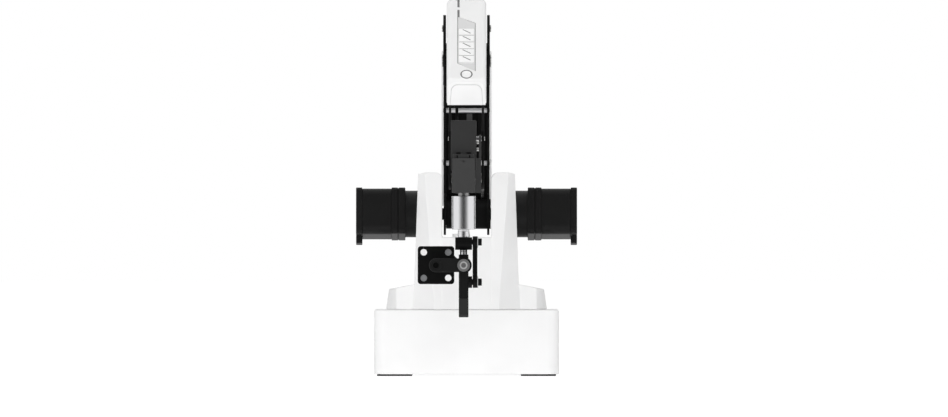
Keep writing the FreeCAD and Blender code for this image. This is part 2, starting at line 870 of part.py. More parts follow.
def make_rear_arm_plate(name, sign):
    body = new_body("rear_arm_plate_" + name)
    low, high = mirrored_span(sign, s.arm_inside, s.arm_inside + s.arm_thick)
    pad(body, "YZ", low, high, corners(
        (0, -s.arm_round), *rear_arm_edge(wrap(0)),
        (s.elbow_back, s.elbow_rise), (s.elbow_back - s.elbow_shoulder, s.elbow_rise),
        (0, s.arm_front_top)))
    pad(body, "YZ", low, high, disc(s.elbow_back, s.elbow_rise, s.elbow_round))
    pad(body, "YZ", low, high, disc(0, 0, s.arm_round))
    shoulder_bore = s.shaft_radius if sign < 0 else s.crank_drum_radius + s.run_gap
    pocket(body, "YZ", low, high,
           belt((s.arm_slot_back, s.arm_slot_low, s.arm_slot_radius),
                (s.arm_slot_back, s.arm_slot_high, s.arm_slot_radius)),
           disc(0, 0, shoulder_bore),
           disc(s.elbow_back, s.elbow_rise, s.elbow_shaft_radius))
    seat_rear_arm(body)


def make_rear_arm_cover():
    # A channel behind the plates, open at its top end, where the forearm's crown swings in.
    body = new_body("rear_arm_cover")
    half = s.arm_cover_width / 2
    edge = rear_arm_edge(s.fit_gap)
    low_end = s.arm_cover_low + s.arm_cover_slope
    high_end = s.arm_cover_high - s.arm_cover_slope
    lip = s.arm_cover_back - s.arm_cover_lip
    pad(body, "YZ", -half, half, corners(
        *edge, (lip, s.arm_cover_high), (s.arm_cover_back, high_end),
        (s.arm_cover_back, low_end), (lip, s.arm_cover_low)))
    wall = s.arm_cover_wall
    pocket(body, "YZ", wall - half, half - wall, corners(
        (s.arm_back - s.arm_step, s.arm_cover_low + wall), (lip, s.arm_cover_low + wall),
        (s.arm_cover_back - wall, low_end + wall / 2), (s.arm_cover_back - wall, high_end - wall / 2),
        (lip - wall / 2, s.arm_cover_high), (s.arm_back - s.arm_step, s.arm_cover_high)))
    seat_rear_arm(body)


def make_rear_arm_fittings():
    struts = new_body("rear_arm_spacers")
    pad(struts, "YZ", -s.arm_inside, s.arm_inside,
        disc(s.strut_back, s.strut_low, s.strut_radius), disc(s.strut_back, s.strut_high, s.strut_radius))
    seat_rear_arm(struts)
    outside = s.arm_inside + s.arm_thick
    cap_end = outside + s.elbow_cap_thick
    caps = new_body("elbow_caps")
    screws = new_body("elbow_screws")
    for name, sign in sides:
        low, high = mirrored_span(sign, outside, cap_end)
        pad(caps, "YZ", low, high, disc(s.elbow_back, s.elbow_rise, s.elbow_cap_radius))
        low, high = mirrored_span(sign, cap_end, cap_end + s.elbow_screw_thick)
        heads = []
        for turn in (0, 120, 240):
            angle = s.elbow_screw_turn + turn
            heads.append(disc(s.elbow_back + s.elbow_screw_ring * sine(angle),
                              s.elbow_rise + s.elbow_screw_ring * cosine(angle), s.elbow_screw_radius))
        pad(screws, "YZ", low, high, *heads)
    seat_rear_arm(caps)
    seat_rear_arm(screws)
    shaft = new_body("elbow_shaft")
    pad(shaft, "YZ", -outside, outside, disc(s.elbow_back, s.elbow_rise, s.elbow_shaft_radius))
    seat_rear_arm(shaft)
    drive = new_body("shoulder_shaft")
    pad(drive, "YZ", -s.gear_start - s.shaft_depth, -s.arm_inside, disc(0, 0, s.shaft_radius))
    pad(drive, "YZ", -s.arm_inside, s.hub_thick - s.arm_inside, disc(0, 0, s.hub_radius))
    seat_rear_arm(drive)


# Level links and the forearm drive, drawn in place

def triangle_plane():
    # Outer face of the elbow triangle, counted from the middle of the arm.
    return s.forearm_inside - s.side_gap


def link_plane():
    return triangle_plane() - s.link_thick - s.side_gap


def anchor_plane():
    # Inner face of the anchor bracket.
    return link_plane() - s.link_thick - s.side_gap - s.anchor_thick


def make_link(label, plane, start, end, start_bore, end_bore):
    # A flat bar with round eyes, drawn from one pivot to the other in y, z.
    body = new_body(label)
    low, high = plane
    bar = s.link_width / 2
    pad(body, "YZ", low, high, belt((start[0], start[1], bar), (end[0], end[1], bar)))
    for (y, z) in (start, end):
        pad(body, "YZ", low, high, disc(y, z, s.link_radius))
    pocket(body, "YZ", low, high, disc(start[0], start[1], start_bore), disc(end[0], end[1], end_bore))
    return body


def make_elbow_triangle():
    body = new_body("elbow_triangle")
    right = s.link_thick - triangle_plane()
    left = -triangle_plane()
    rear = (elbow_y + s.level_back, elbow_z + s.level_rise)
    front = (elbow_y - s.tie_front, elbow_z + s.tie_rise)
    pad(body, "YZ", left, right,
        belt((elbow_y, elbow_z, s.triangle_round + s.link_pin_radius), (rear[0], rear[1], s.triangle_round),
             (front[0], front[1], s.triangle_round)),
        disc(elbow_y, elbow_z, s.elbow_shaft_radius + s.run_gap))
    pin_end = right + s.side_gap + s.link_thick
    pad(body, "YZ", right, pin_end, disc(rear[0], rear[1], s.link_pin_radius),
        disc(front[0], front[1], s.link_pin_radius))


def make_level_links():
    plane = (-link_plane(), s.link_thick - link_plane())
    tight = s.link_pin_radius + s.run_gap
    loose = s.link_pin_radius + s.loose_gap
    make_link("level_link_rear", plane,
              (s.level_back, shoulder_z + s.level_rise),
              (elbow_y + s.level_back, elbow_z + s.level_rise), tight, loose)
    make_link("level_link_front", plane,
              (elbow_y - s.tie_front, elbow_z + s.tie_rise),
              (wrist_y - s.tie_front, wrist_z + s.tie_rise), tight, loose)


def crank_planes():
    # Inner faces of the crank web and of the drive rod, counted from the middle.
    rod = s.forearm_inside - s.side_gap - s.link_thick
    web = rod - s.side_gap - s.link_thick
    return web, rod


def make_forearm_drive():
    web, rod = crank_planes()
    pin = (s.drive_back, shoulder_z + s.drive_rise)
    crank = new_body("forearm_crank")
    pad(crank, "YZ", web, web + s.link_thick, belt((0, shoulder_z, s.crank_drum_radius),
                                                   (pin[0], pin[1], s.link_radius)))
    drum_end = s.slot_width / 2 - s.turn_gap
    pad(crank, "YZ", web + s.link_thick, drum_end, disc(0, shoulder_z, s.crank_drum_radius))
    pad(crank, "YZ", drum_end, s.gear_start + s.shaft_depth, disc(0, shoulder_z, s.shaft_radius))
    collar_low = rod + s.link_thick + s.run_gap
    collar_high = collar_low + s.bush_collar
    pad(crank, "YZ", web + s.link_thick, collar_high, disc(pin[0], pin[1], s.crank_pin_radius))
    bush = new_body("crank_bush")
    bush_outer = s.crank_pin_radius + s.run_gap + s.bush_wall
    bore = disc(pin[0], pin[1], s.crank_pin_radius + s.run_gap)
    pad(bush, "YZ", rod, collar_low, disc(pin[0], pin[1], bush_outer), bore)
    pad(bush, "YZ", collar_low, collar_high, disc(pin[0], pin[1], s.bush_collar_radius), bore)
    make_link("drive_rod", (rod, rod + s.link_thick), pin,
              (elbow_y + s.drive_back, elbow_z + s.drive_rise),
              bush_outer + s.run_gap, s.link_pin_radius + s.loose_gap)


# Forearm: sketches in y, z about the elbow, level, with the wrist towards -Y

def seat_forearm(body):
    seat(body, elbow_y, elbow_z, s.forearm_tilt)


def drive_eye():
    # The forearm's rear drive pivot in its own frame.
    back = s.drive_back * cosine(s.forearm_tilt) + s.drive_rise * sine(s.forearm_tilt)
    rise = s.drive_rise * cosine(s.forearm_tilt) - s.drive_back * sine(s.forearm_tilt)
    return back, rise


def cover_edge(gap):
    # The stepped line where the cover meets the plates, from the tail to the chin, lifted by the gap.
    return [
        (-s.cover_tail_along, s.cover_tail_rise + gap),
        (-s.cover_step_start, s.forearm_high + gap),
        (-s.cover_step_end, s.cover_step_rise + gap),
        (-s.cover_chin_along, s.cover_chin_rise + gap),
    ]


def make_forearm_plate(name, sign):
    body = new_body("forearm_plate_" + name)
    low, high = mirrored_span(sign, s.forearm_inside, s.forearm_inside + s.forearm_thick)
    edge = cover_edge(-s.fit_gap)
    pad(body, "YZ", low, high, corners(
        (0, 0), (0, s.forearm_low), *edge,
        (-s.forearm_nose, s.cover_chin_rise - s.wrist_lobe_rise),
        (-s.forearm_chin, s.forearm_chin_rise),
        (-s.wrist_along, s.wrist_rise),
        (s.wrist_round - s.wrist_along, s.forearm_low), (-s.forearm_low, s.forearm_low)))
    pad(body, "YZ", low, high, disc(-s.crown_along, s.crown_rise, s.crown_round))
    pad(body, "YZ", low, high, disc(0, 0, s.forearm_elbow_round))
    pad(body, "YZ", low, high, disc(s.wrist_lobe_back - s.wrist_along, s.wrist_rise + s.wrist_lobe_rise,
                                    s.wrist_round))
    holes = [
        belt((-s.forearm_slot_end, s.forearm_slot_rise, s.forearm_slot_radius),
             (-s.forearm_slot_start, s.forearm_slot_rise, s.forearm_slot_radius)),
        disc(0, 0, s.elbow_shaft_radius + s.run_gap),
        disc(-s.wrist_along, s.wrist_rise, s.wrist_axle_radius)]
    if sign > 0:
        back, rise = drive_eye()
        holes.append(disc(back, rise, s.link_pin_radius))
    pocket(body, "YZ", low, high, *holes)
    seat_forearm(body)


def make_forearm_cover():
    body = new_body("forearm_cover")
    half = s.cover_width / 2
    wall = s.cover_wall
    pad(body, "YZ", -half, half, corners(
        *cover_edge(wrap(0)), (-s.cover_end, s.cover_top), (-s.cover_start, s.cover_top)))
    top = s.cover_top.number - 1e-6
    round_edges(body, s.cover_round, lambda edge: max(end.Point.z for end in edge.Vertexes) > top)
    pocket(body, "YZ", wall - half, half - wall, corners(
        (-s.cover_start - wall, s.cover_top - wall), (-s.cover_start, s.forearm_low),
        (wall - s.cover_chin_along, s.forearm_low),
        (s.cover_chin_wall - s.cover_chin_along, s.cover_chin_rise), (-s.cover_end, s.cover_top - wall)))
    window = s.socket_count * s.socket_pitch
    pocket(body, "XY", s.cover_top - wall, s.cover_top,
           rounded(0, -s.socket_start - window / 2, s.socket_width + 2 * s.fit_gap,
                   window + 2 * s.fit_gap, s.fit_gap * 4),
           disc(0, -s.release_along, s.release_radius + s.run_gap))
    seat_forearm(body)


def make_connector_sockets():
    # Five sockets on one carrier strip under the cover.
    body = new_body("connector_sockets")
    strip_top = s.cover_top - s.cover_wall
    window = s.socket_count * s.socket_pitch
    strip_low = strip_top - s.socket_body
    pad(body, "XY", strip_low, strip_top, rectangle(
        -s.socket_width / 2 - s.cover_wall, s.socket_width / 2 + s.cover_wall,
        -s.socket_start - window, -s.socket_start))
    slots = []
    for index in range(int(s.socket_count.number)):
        middle = -s.socket_start - (index + 0.5) * s.socket_pitch
        slots.append(rectangle(-s.socket_width / 2, s.socket_width / 2,
                               middle - s.socket_length / 2, middle + s.socket_length / 2))
    pad(body, "XY", strip_top, s.cover_top + s.socket_proud, *slots)
    seat_forearm(body)


def make_release_button():
    body = new_body("unlock_button")
    top = s.cover_top + s.release_proud
    flange_top = s.cover_top - s.cover_wall - s.turn_gap
    pad(body, "XY", top - s.release_length, top, disc(0, -s.release_along, s.release_radius))
    pad(body, "XY", flange_top - s.release_flange, flange_top,
        disc(0, -s.release_along, s.release_radius + s.release_flange))
    seat_forearm(body)


def make_forearm_fittings():
    struts = new_body("forearm_spacers")
    pad(struts, "YZ", -s.forearm_inside, s.forearm_inside,
        disc(-s.forearm_strut_start, s.forearm_strut_rise, s.strut_radius),
        disc(-s.forearm_strut_end, s.forearm_strut_rise, s.strut_radius))
    seat_forearm(struts)
    axle = new_body("wrist_axle")
    outside = s.forearm_inside + s.forearm_thick
    pad(axle, "YZ", -outside, outside, disc(-s.wrist_along, s.wrist_rise, s.wrist_axle_radius))
    seat_forearm(axle)
    pin = new_body("drive_pin")
    back, rise = drive_eye()
    web, rod = crank_planes()
    pad(pin, "YZ", rod, outside, disc(back, rise, s.link_pin_radius))
    seat_forearm(pin)


# Wrist bracket and servo, drawn in place

bracket_low = wrist_z - s.bracket_drop
bracket_high = bracket_low + s.bracket_height
frame_rear = tool_y + s.frame_back
frame_nose = tool_y - s.frame_front


def make_wrist_bracket():
    body = new_body("wrist_bracket")
    tie = (wrist_y - s.tie_front, wrist_z + s.tie_rise)
    outer = triangle_plane()
    cross = frame_rear - s.frame_wall
    for name, sign in sides:
        low, high = mirrored_span(sign, outer - s.bracket_thick, outer)
        pad(body, "YZ", low, high, corners(
            (wrist_y, bracket_low), (wrist_y, wrist_z), tie,
            (frame_rear, tie[1]), (frame_rear, bracket_high), (cross, bracket_high), (cross, bracket_low)))
        pad(body, "YZ", low, high, disc(tie[0], tie[1], s.bracket_lobe))
        pad(body, "YZ", low, high, disc(wrist_y, wrist_z, s.bracket_drop))
        if sign < 0:
            pad(body, "YZ", -outer, outer, rectangle(cross, frame_rear, bracket_low, bracket_high))
    left = tool_x - s.frame_width / 2
    lip_low = bracket_high - s.frame_lip
    sill = bracket_low + s.frame_floor
    pad(body, "YZ", left, left + s.frame_width, corners(
        (frame_nose, bracket_low), (frame_rear, bracket_low), (frame_rear, bracket_high),
        (frame_rear - s.frame_lip_length, bracket_high), (frame_rear - s.frame_lip_length, lip_low),
        (cross, lip_low), (cross, sill), (frame_nose + s.frame_wall, sill),
        (frame_nose + s.frame_wall, lip_low), (frame_nose + s.frame_lip_length, lip_low),
        (frame_nose + s.frame_lip_length, bracket_high), (frame_nose, bracket_high)))
    pocket(body, "YZ", -outer, outer, disc(wrist_y, wrist_z, s.wrist_axle_radius + s.run_gap))
    pocket(body, "XY", bracket_low, sill, disc(tool_x, tool_y, s.coupling_radius + s.run_gap))
    pin_left = s.bracket_thick - outer
    pad(body, "YZ", pin_left, s.link_thick - link_plane(), disc(tie[0], tie[1], s.link_pin_radius))


servo_low = bracket_high - s.servo_drop


def make_servo():
    body = new_body("servo")
    rear = tool_y + s.servo_back
    nose = rear - s.servo_length
    left = tool_x - s.servo_width / 2
    pad(body, "YZ", left, left + s.servo_width,
        rectangle(nose, rear, servo_low, servo_low + s.servo_height))
    ear_left = tool_x - s.servo_ear_width / 2
    pad(body, "YZ", ear_left, ear_left + s.servo_ear_width,
        rectangle(nose - s.servo_ear, rear + s.servo_ear, bracket_high, bracket_high + s.servo_ear_thick))
    screws = new_body("servo_screws")
    top = bracket_high + s.servo_ear_thick
    heads = []
    for x in (tool_x - s.servo_ear_width / 4, tool_x + s.servo_ear_width / 4):
        for y in (nose - s.servo_ear / 2, rear + s.servo_ear / 2):
            heads.append(disc(x, y, s.ear_screw_radius))
    pad(screws, "XY", top, top + s.ear_screw_thick, *heads)


# Tool: coupling, sleeve and gripper hub

ring_high = servo_low - s.lock_ring_drop
sleeve_high = bracket_low - s.sleeve_gap
sleeve_low = sleeve_high - s.sleeve_height
hub_high = sleeve_low - s.hub_gap
hub_low = hub_high - s.hub_height
pivot_z = hub_high - s.hub_pivot_drop
block_high = hub_low - s.neck_height
block_low = block_high - s.block_height
hub_left = tool_x - s.hub_width / 2
hub_right = hub_left + s.hub_width
link_left = hub_right + s.side_gap
link_right = link_left + s.grip_link_thick
bolt_left = link_right + s.side_gap
bolt_z = pivot_z - s.jaw_bolt_drop


def make_tool_coupling():
    body = new_body("tool_coupling")
    top = servo_low - s.coupling_gap
    pad(body, "XY", sleeve_high, top, disc(tool_x, tool_y, s.coupling_radius))
    ring = new_body("lock_ring")
    pad(ring, "XY", ring_high - s.lock_ring_height, ring_high,
        disc(tool_x, tool_y, s.lock_ring_radius), disc(tool_x, tool_y, s.coupling_radius))
    sleeve = new_body("clamp_sleeve")
    pad(sleeve, "XY", sleeve_low, sleeve_high, disc(tool_x, tool_y, s.sleeve_radius),
        disc(tool_x, tool_y, s.grip_shaft_radius))


def make_gripper_hub():
    body = new_body("gripper_hub")
    pivots = [(tool_y - s.hub_pivot, pivot_z), (tool_y + s.hub_pivot, pivot_z)]
    pad(body, "XY", hub_high, sleeve_high, disc(tool_x, tool_y, s.grip_shaft_radius))
    boss = s.hub_height / 2
    hub_middle = (hub_high + hub_low) / 2
    pad(body, "YZ", hub_left, hub_right, belt((tool_y - s.hub_pivot, hub_middle, boss),
                                              (tool_y + s.hub_pivot, hub_middle, boss)))
    pad(body, "XY", block_high, hub_low, rectangle(
        tool_x - s.neck_width / 2, tool_x + s.neck_width / 2,
        tool_y - s.neck_depth / 2, tool_y + s.neck_depth / 2))
    pad(body, "XY", block_low, block_high, rectangle(
        tool_x - s.block_width / 2, tool_x + s.block_width / 2,
        tool_y - s.block_depth / 2, tool_y + s.block_depth / 2))
    reach = s.jaw_bolt_radius + s.loose_gap
    lift = s.nut_radius
    pocket(body, "XZ", -tool_y - s.block_depth / 2, s.block_depth / 2 - tool_y,
           belt((tool_x, bolt_z, reach), (tool_x, bolt_z + lift, reach)))
    bolts = new_body("hub_bolts")
    pad(bolts, "YZ", hub_right, bolt_left, *[disc(y, z, s.grip_pin_radius) for y, z in pivots])
    pad(bolts, "YZ", bolt_left, bolt_left + s.grip_bolt_thick,
        *[disc(y, z, s.grip_bolt_radius) for y, z in pivots])


def make_grip_link(name, way):
    # Way is -1 for the front finger and +1 for the rear one.
    body = new_body(name + "_link")
    start = (tool_y + way * s.hub_pivot, pivot_z)
    end = (start[0] + way * s.grip_link_spread, pivot_z - s.grip_link_drop)
    bar = s.grip_link_width / 2
    path = [(start[0], start[1], bar), (end[0], end[1], bar)]
    pad(body, "YZ", link_left, link_right, belt(*path))
    for y, z in (start, end):
        pad(body, "YZ", link_left, link_right, disc(y, z, s.grip_link_radius))
    bore = s.grip_pin_radius + s.run_gap
    pocket(body, "YZ", link_left, link_right, disc(start[0], start[1], bore), disc(end[0], end[1], bore))


def make_jaw(name, way):
    body = new_body(name + "_jaw")
    left = tool_x - s.jaw_width / 2
    right = left + s.jaw_width

    def out(distance):
        return tool_y + way * distance

    points = [
        (out(s.jaw_inner), pivot_z - s.jaw_top),
        (out(s.jaw_outer), pivot_z - s.jaw_top),
        (out(s.jaw_outer), pivot_z - s.jaw_shoulder),
        (out(s.jaw_knuckle), pivot_z - s.jaw_knuckle_drop),
        (out(s.jaw_tip_outer), pivot_z - s.jaw_tip_drop + s.jaw_tip_slope),
        (out(s.jaw_tip_inner), pivot_z - s.jaw_tip_drop),
        (out(s.jaw_tip_inner), pivot_z - s.jaw_palm_drop - s.jaw_palm_slope),
        (out(s.jaw_inner), pivot_z - s.jaw_palm_drop)]
    pad(body, "YZ", left, right, corners(*points))
    pivot = (out(s.hub_pivot + s.grip_link_spread), pivot_z - s.grip_link_drop)
    pad(body, "YZ", right, link_left - s.side_gap, disc(pivot[0], pivot[1], s.grip_link_radius))
    pad(body, "YZ", link_left - s.side_gap, bolt_left, disc(pivot[0], pivot[1], s.grip_pin_radius))
    pad(body, "YZ", bolt_left, bolt_left + s.grip_bolt_thick,
        disc(pivot[0], pivot[1], s.grip_bolt_radius))
    pocket(body, "YZ", left, right, disc(tool_y, pivot_z - s.notch_drop, s.notch_radius))
    pocket(body, "XZ", -tool_y - s.jaw_outer, s.jaw_outer - tool_y,
           disc(tool_x, bolt_z, s.jaw_bolt_radius))


def forward_span(way, near, far):
    # A stretch along Y on one finger's side, counted forward for sketches on XZ.
    if way < 0:
        return near - tool_y, far - tool_y
    return -far - tool_y, -near - tool_y


def make_jaw_bolt(name, way, plate):
    body = new_body(name + "_jaw_bolt")
    low, high = forward_span(way, s.jaw_bolt_start, s.jaw_bolt_end)
    pad(body, "XZ", low, high, disc(tool_x, bolt_z, s.jaw_bolt_radius))
    nut_start = s.jaw_outer + plate
    low, high = forward_span(way, nut_start, nut_start + s.nut_thick)
    pad(body, "XZ", low, high, disc(tool_x, bolt_z, s.nut_radius))


cylinder_x = tool_x - s.cylinder_offset
plate_face = s.jaw_outer + s.end_plate_thick


def make_air_cylinder():
    body = new_body("air_cylinder")
    low, high = forward_span(1, plate_face, plate_face + s.cylinder_length)
    pad(body, "XZ", low, high,
        rounded(cylinder_x, bolt_z, s.cylinder_side, s.cylinder_height, s.cylinder_round))
    pocket(body, "XZ", high - s.bore_depth, high, disc(cylinder_x, bolt_z, s.cylinder_bore))
    wide = s.hole_pitch_wide / 2
    tall = s.hole_pitch_high / 2
    pocket(body, "XZ", low, high, disc(cylinder_x - wide, bolt_z + tall, s.end_plate_hole),
           disc(cylinder_x + wide, bolt_z - tall, s.end_plate_hole))
    plate = new_body("cylinder_plate")
    low, high = forward_span(1, s.jaw_outer, plate_face)
    pad(plate, "XZ", low, high,
        rounded(cylinder_x, bolt_z, s.cylinder_side, s.cylinder_height, s.cylinder_round))
    pad(plate, "XZ", low, high, belt((cylinder_x, bolt_z, s.crosshead_height / 2),
                                     (tool_x, bolt_z, s.crosshead_height / 2)))
    holes = [disc(tool_x, bolt_z, s.jaw_bolt_radius),
             disc(cylinder_x, bolt_z, s.piston_rod_radius + s.run_gap)]
    for x in (-1, 1):
        for z in (-1, 1):
            holes.append(disc(cylinder_x + x * wide, bolt_z + z * tall, s.end_plate_hole))
    pocket(plate, "XZ", low, high, *holes)


def make_piston():
    head = new_body("crosshead")
    low, high = forward_span(-1, s.jaw_outer, s.jaw_outer + s.crosshead_thick)
    pad(head, "XZ", low, high,
        belt((cylinder_x, bolt_z, s.crosshead_height / 2), (tool_x, bolt_z, s.crosshead_height / 2)),
        disc(tool_x, bolt_z, s.jaw_bolt_radius), disc(cylinder_x, bolt_z, s.piston_rod_radius))
    rod = new_body("piston_rod")
    bore_low, bore_high = forward_span(1, plate_face, plate_face + s.bore_depth)
    piston_low = bore_low + s.piston_gap
    pad(rod, "XZ", piston_low, piston_low + s.piston_thick,
        disc(cylinder_x, bolt_z, s.cylinder_bore - s.run_gap))
    pad(rod, "XZ", piston_low + s.piston_thick, high - s.crosshead_thick / 2,
        disc(cylinder_x, bolt_z, s.piston_rod_radius))


make_base_shell()
make_base_plate()
make_foot_pads()
make_rear_panel()
make_rear_ports()
make_power_button()
make_control_board()
make_yaw_drive()
make_turntable()
make_turret_shell()
make_anchor_bracket()
for side_name, side_sign in sides:
    make_shoulder_motor(side_name, side_sign)
    make_rear_arm_plate(side_name, side_sign)
    make_forearm_plate(side_name, side_sign)
make_rear_arm_cover()
make_rear_arm_fittings()
make_elbow_triangle()
make_level_links()
make_forearm_drive()
make_forearm_cover()
make_connector_sockets()
make_release_button()
make_forearm_fittings()
make_wrist_bracket()
make_servo()
make_tool_coupling()
make_gripper_hub()
for finger, finger_way, clamped in (("front", -1, s.crosshead_thick), ("rear", 1, s.end_plate_thick)):
    make_grip_link(finger, finger_way)
    make_jaw(finger, finger_way)
    make_jaw_bolt(finger, finger_way, clamped)
make_air_cylinder()
make_piston()
doc.recompute()

for thing in doc.Objects:
    if "Invalid" in thing.State or "Error" in thing.State:
        raise RuntimeError(thing.Label + " did not compute")
    if thing.TypeId == "PartDesign::Pocket":
        if thing.Shape.Volume > thing.BaseFeature.Shape.Volume - 1e-6:
            raise RuntimeError(thing.Label + " cuts nothing")
for node in nodes:
    if node.Shape.isNull() or not node.Shape.isValid():
        raise RuntimeError(node.Label + " has no valid shape")

os.makedirs("parts", exist_ok=True)
for node in nodes:
    node.Shape.exportStep("parts/" + node.Label + ".step")
    print(node.Label, len(node.Shape.Solids), round(node.Shape.Volume, 1))
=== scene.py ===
import bpy
import json
import math
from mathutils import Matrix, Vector

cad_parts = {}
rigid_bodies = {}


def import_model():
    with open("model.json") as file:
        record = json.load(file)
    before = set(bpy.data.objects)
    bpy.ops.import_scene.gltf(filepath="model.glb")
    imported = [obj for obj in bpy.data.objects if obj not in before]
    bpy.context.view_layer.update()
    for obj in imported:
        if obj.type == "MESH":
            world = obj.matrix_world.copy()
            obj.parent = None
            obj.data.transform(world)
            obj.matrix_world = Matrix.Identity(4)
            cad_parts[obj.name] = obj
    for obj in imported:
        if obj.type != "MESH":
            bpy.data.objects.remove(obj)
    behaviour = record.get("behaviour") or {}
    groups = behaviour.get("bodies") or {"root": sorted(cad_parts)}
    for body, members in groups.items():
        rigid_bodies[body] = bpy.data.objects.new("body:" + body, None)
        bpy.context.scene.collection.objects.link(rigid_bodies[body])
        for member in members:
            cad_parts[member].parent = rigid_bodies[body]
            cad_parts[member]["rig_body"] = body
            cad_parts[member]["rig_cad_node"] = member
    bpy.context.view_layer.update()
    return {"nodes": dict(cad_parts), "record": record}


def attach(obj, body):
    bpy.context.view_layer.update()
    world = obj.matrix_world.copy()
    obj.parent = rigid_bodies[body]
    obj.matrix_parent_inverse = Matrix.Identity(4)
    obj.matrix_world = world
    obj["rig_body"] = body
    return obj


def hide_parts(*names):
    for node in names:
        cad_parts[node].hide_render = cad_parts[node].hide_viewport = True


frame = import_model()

mm = 0.001
limits = {"merge": 0.002, "flat": 0.5, "sharp": 30, "smooth": 38}  # mm, then degrees
bodyOf = {node: body for body, nodes in frame["record"]["behaviour"]["bodies"].items() for node in nodes}
slotOf = {row["node"]: row["material_slot"] for row in frame["record"]["subparts"]}
scene = bpy.context.scene
scene.view_settings.view_transform = "Standard"


# selecting, copying and finishing

def chooseOnly(*things):
    bpy.ops.object.select_all(action="DESELECT")
    for thing in things:
        thing.select_set(True)
    bpy.context.view_layer.objects.active = things[0]


def pick(piece, kind, test):
    # leaves edit mode on, with the faces (centre, normal), edges (two ends) or points that pass the test
    chooseOnly(piece)
    bpy.ops.object.mode_set(mode="EDIT")
    bpy.ops.mesh.select_mode(type=kind)
    bpy.ops.mesh.select_all(action="DESELECT")
    bpy.ops.object.mode_set(mode="OBJECT")
    mesh = piece.data
    spots = [vertex.co.copy() for vertex in mesh.vertices]
    if kind == "FACE":
        for face in mesh.polygons:
            face.select = test(face.center, face.normal)
    elif kind == "EDGE":
        for edge in mesh.edges:
            edge.select = test(spots[edge.vertices[0]], spots[edge.vertices[1]])
    else:
        for vertex in mesh.vertices:
            vertex.select = test(vertex.co)
    bpy.ops.object.mode_set(mode="EDIT")


def endEdit():
    bpy.ops.object.mode_set(mode="OBJECT")


def nameNew(name):
    # the object that was just added or copied, with its data, under a name of its own
    thing = bpy.context.object
    thing.name = name
    thing.data.name = name
    return thing


def copyNode(node, name):
    # a merged copy of a CAD node, with flat faces joined up, ready to be worked on
    chooseOnly(frame["nodes"][node])
    bpy.ops.object.duplicate()
    piece = nameNew(name)
    bpy.ops.object.parent_clear(type="CLEAR_KEEP_TRANSFORM")
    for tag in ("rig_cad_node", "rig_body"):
        del piece[tag]
    bpy.ops.mesh.customdata_custom_splitnormals_clear()
    bpy.ops.object.mode_set(mode="EDIT")
    bpy.ops.mesh.select_all(action="SELECT")
    bpy.ops.mesh.remove_doubles(threshold=limits["merge"] * mm)
    bpy.ops.mesh.dissolve_limited(angle_limit=math.radians(limits["flat"]))
    endEdit()
    return piece


def softenEdges(piece, width, segments=2):
    # breaks the sharp edges as a tool or a mould does, width in mm
    chooseOnly(piece)
    edge = piece.modifiers.new("edge", "BEVEL")
    edge.width = width * mm
    edge.segments = segments
    edge.limit_method = "ANGLE"
    edge.angle_limit = math.radians(limits["sharp"])
    edge.use_clamp_overlap = False
    bpy.ops.object.modifier_apply(modifier=edge.name)
    evenShade(piece)


def evenShade(piece):
    chooseOnly(piece)
    bpy.ops.object.shade_smooth_by_angle(angle=math.radians(limits["smooth"]))
    shade = piece.modifiers.new("shade", "WEIGHTED_NORMAL")  # large faces stay flat up to their soft edges
    shade.keep_sharp = True
    bpy.ops.object.modifier_apply(modifier=shade.name)


def place(piece, spot=(0, 0, 0), turn=(0, 0, 0)):
    # moves a finished shape to its place, in mm and degrees, and writes the place into its mesh
    chooseOnly(piece)
    piece.location = Vector(spot) * mm
    piece.rotation_euler = [math.radians(angle) for angle in turn]
    bpy.ops.object.transform_apply(location=True, rotation=True, scale=True)


def copyPiece(piece, name):
    chooseOnly(piece)
    bpy.ops.object.duplicate(linked=False)
    return nameNew(name)


def settle(piece, body, slot, material, *nodes):
    piece.data.materials.clear()
    piece.data.materials.append(material)
    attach(piece, body)
    if nodes:
        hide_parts(*nodes)


def addTrim(piece, width, body, node, material):
    # a small piece made here, with softened edges, set on a body with a material
    softenEdges(piece, width)
    settle(piece, body, slotOf[node], material)


def dress(node, material, width):
    # the plain way to finish a node: its own shape with softened edges and a real surface
    first, *others = node.split("_")
    piece = copyNode(node, first + "".join(word.capitalize() for word in others))
    softenEdges(piece, width)
    settle(piece, bodyOf[node], slotOf[node], material, node)


def makeBox(name, low, high):
    # a block between two corners, in mm
    bpy.ops.object.select_all(action="DESELECT")
    bpy.ops.mesh.primitive_cube_add(size=1)
    block = nameNew(name)
    block.scale = [(end - start) * mm for start, end in zip(low, high)]
    place(block, [(start + end) / 2 for start, end in zip(low, high)])
    return block


def makeDisc(name, axis, radius, low, high, middle, sides=48):
    # a round bar along an axis from low to high, in mm, with middle on that axis
    bpy.ops.object.select_all(action="DESELECT")
    bpy.ops.mesh.primitive_cylinder_add(vertices=sides, radius=radius * mm, depth=(high - low) * mm)
    bar = nameNew(name)
    spot = list(middle)
    spot[axis] = (low + high) / 2
    place(bar, spot, ((0, 90, 0), (90, 0, 0), (0, 0, 0))[axis])
    return bar


def carve(piece, *cutters):
    # cuts the shapes of the cutters out of a piece and takes the cutters away
    for cutter in cutters:
        chooseOnly(piece)
        cut = piece.modifiers.new("cut", "BOOLEAN")
        cut.operation = "DIFFERENCE"
        cut.object = cutter
        bpy.ops.object.modifier_apply(modifier=cut.name)
        bpy.data.objects.remove(cutter)


def sawCut(piece, axis, level, **options):
    # parts a piece's faces at a level on an axis, in mm
    spot, normal = [0, 0, 0], [0, 0, 0]
    spot[axis] = level * mm
    normal[axis] = 1
    chooseOnly(piece)
    bpy.ops.object.mode_set(mode="EDIT")
    bpy.ops.mesh.select_all(action="SELECT")
    bpy.ops.mesh.bisect(plane_co=spot, plane_no=normal, **options)
    endEdit()


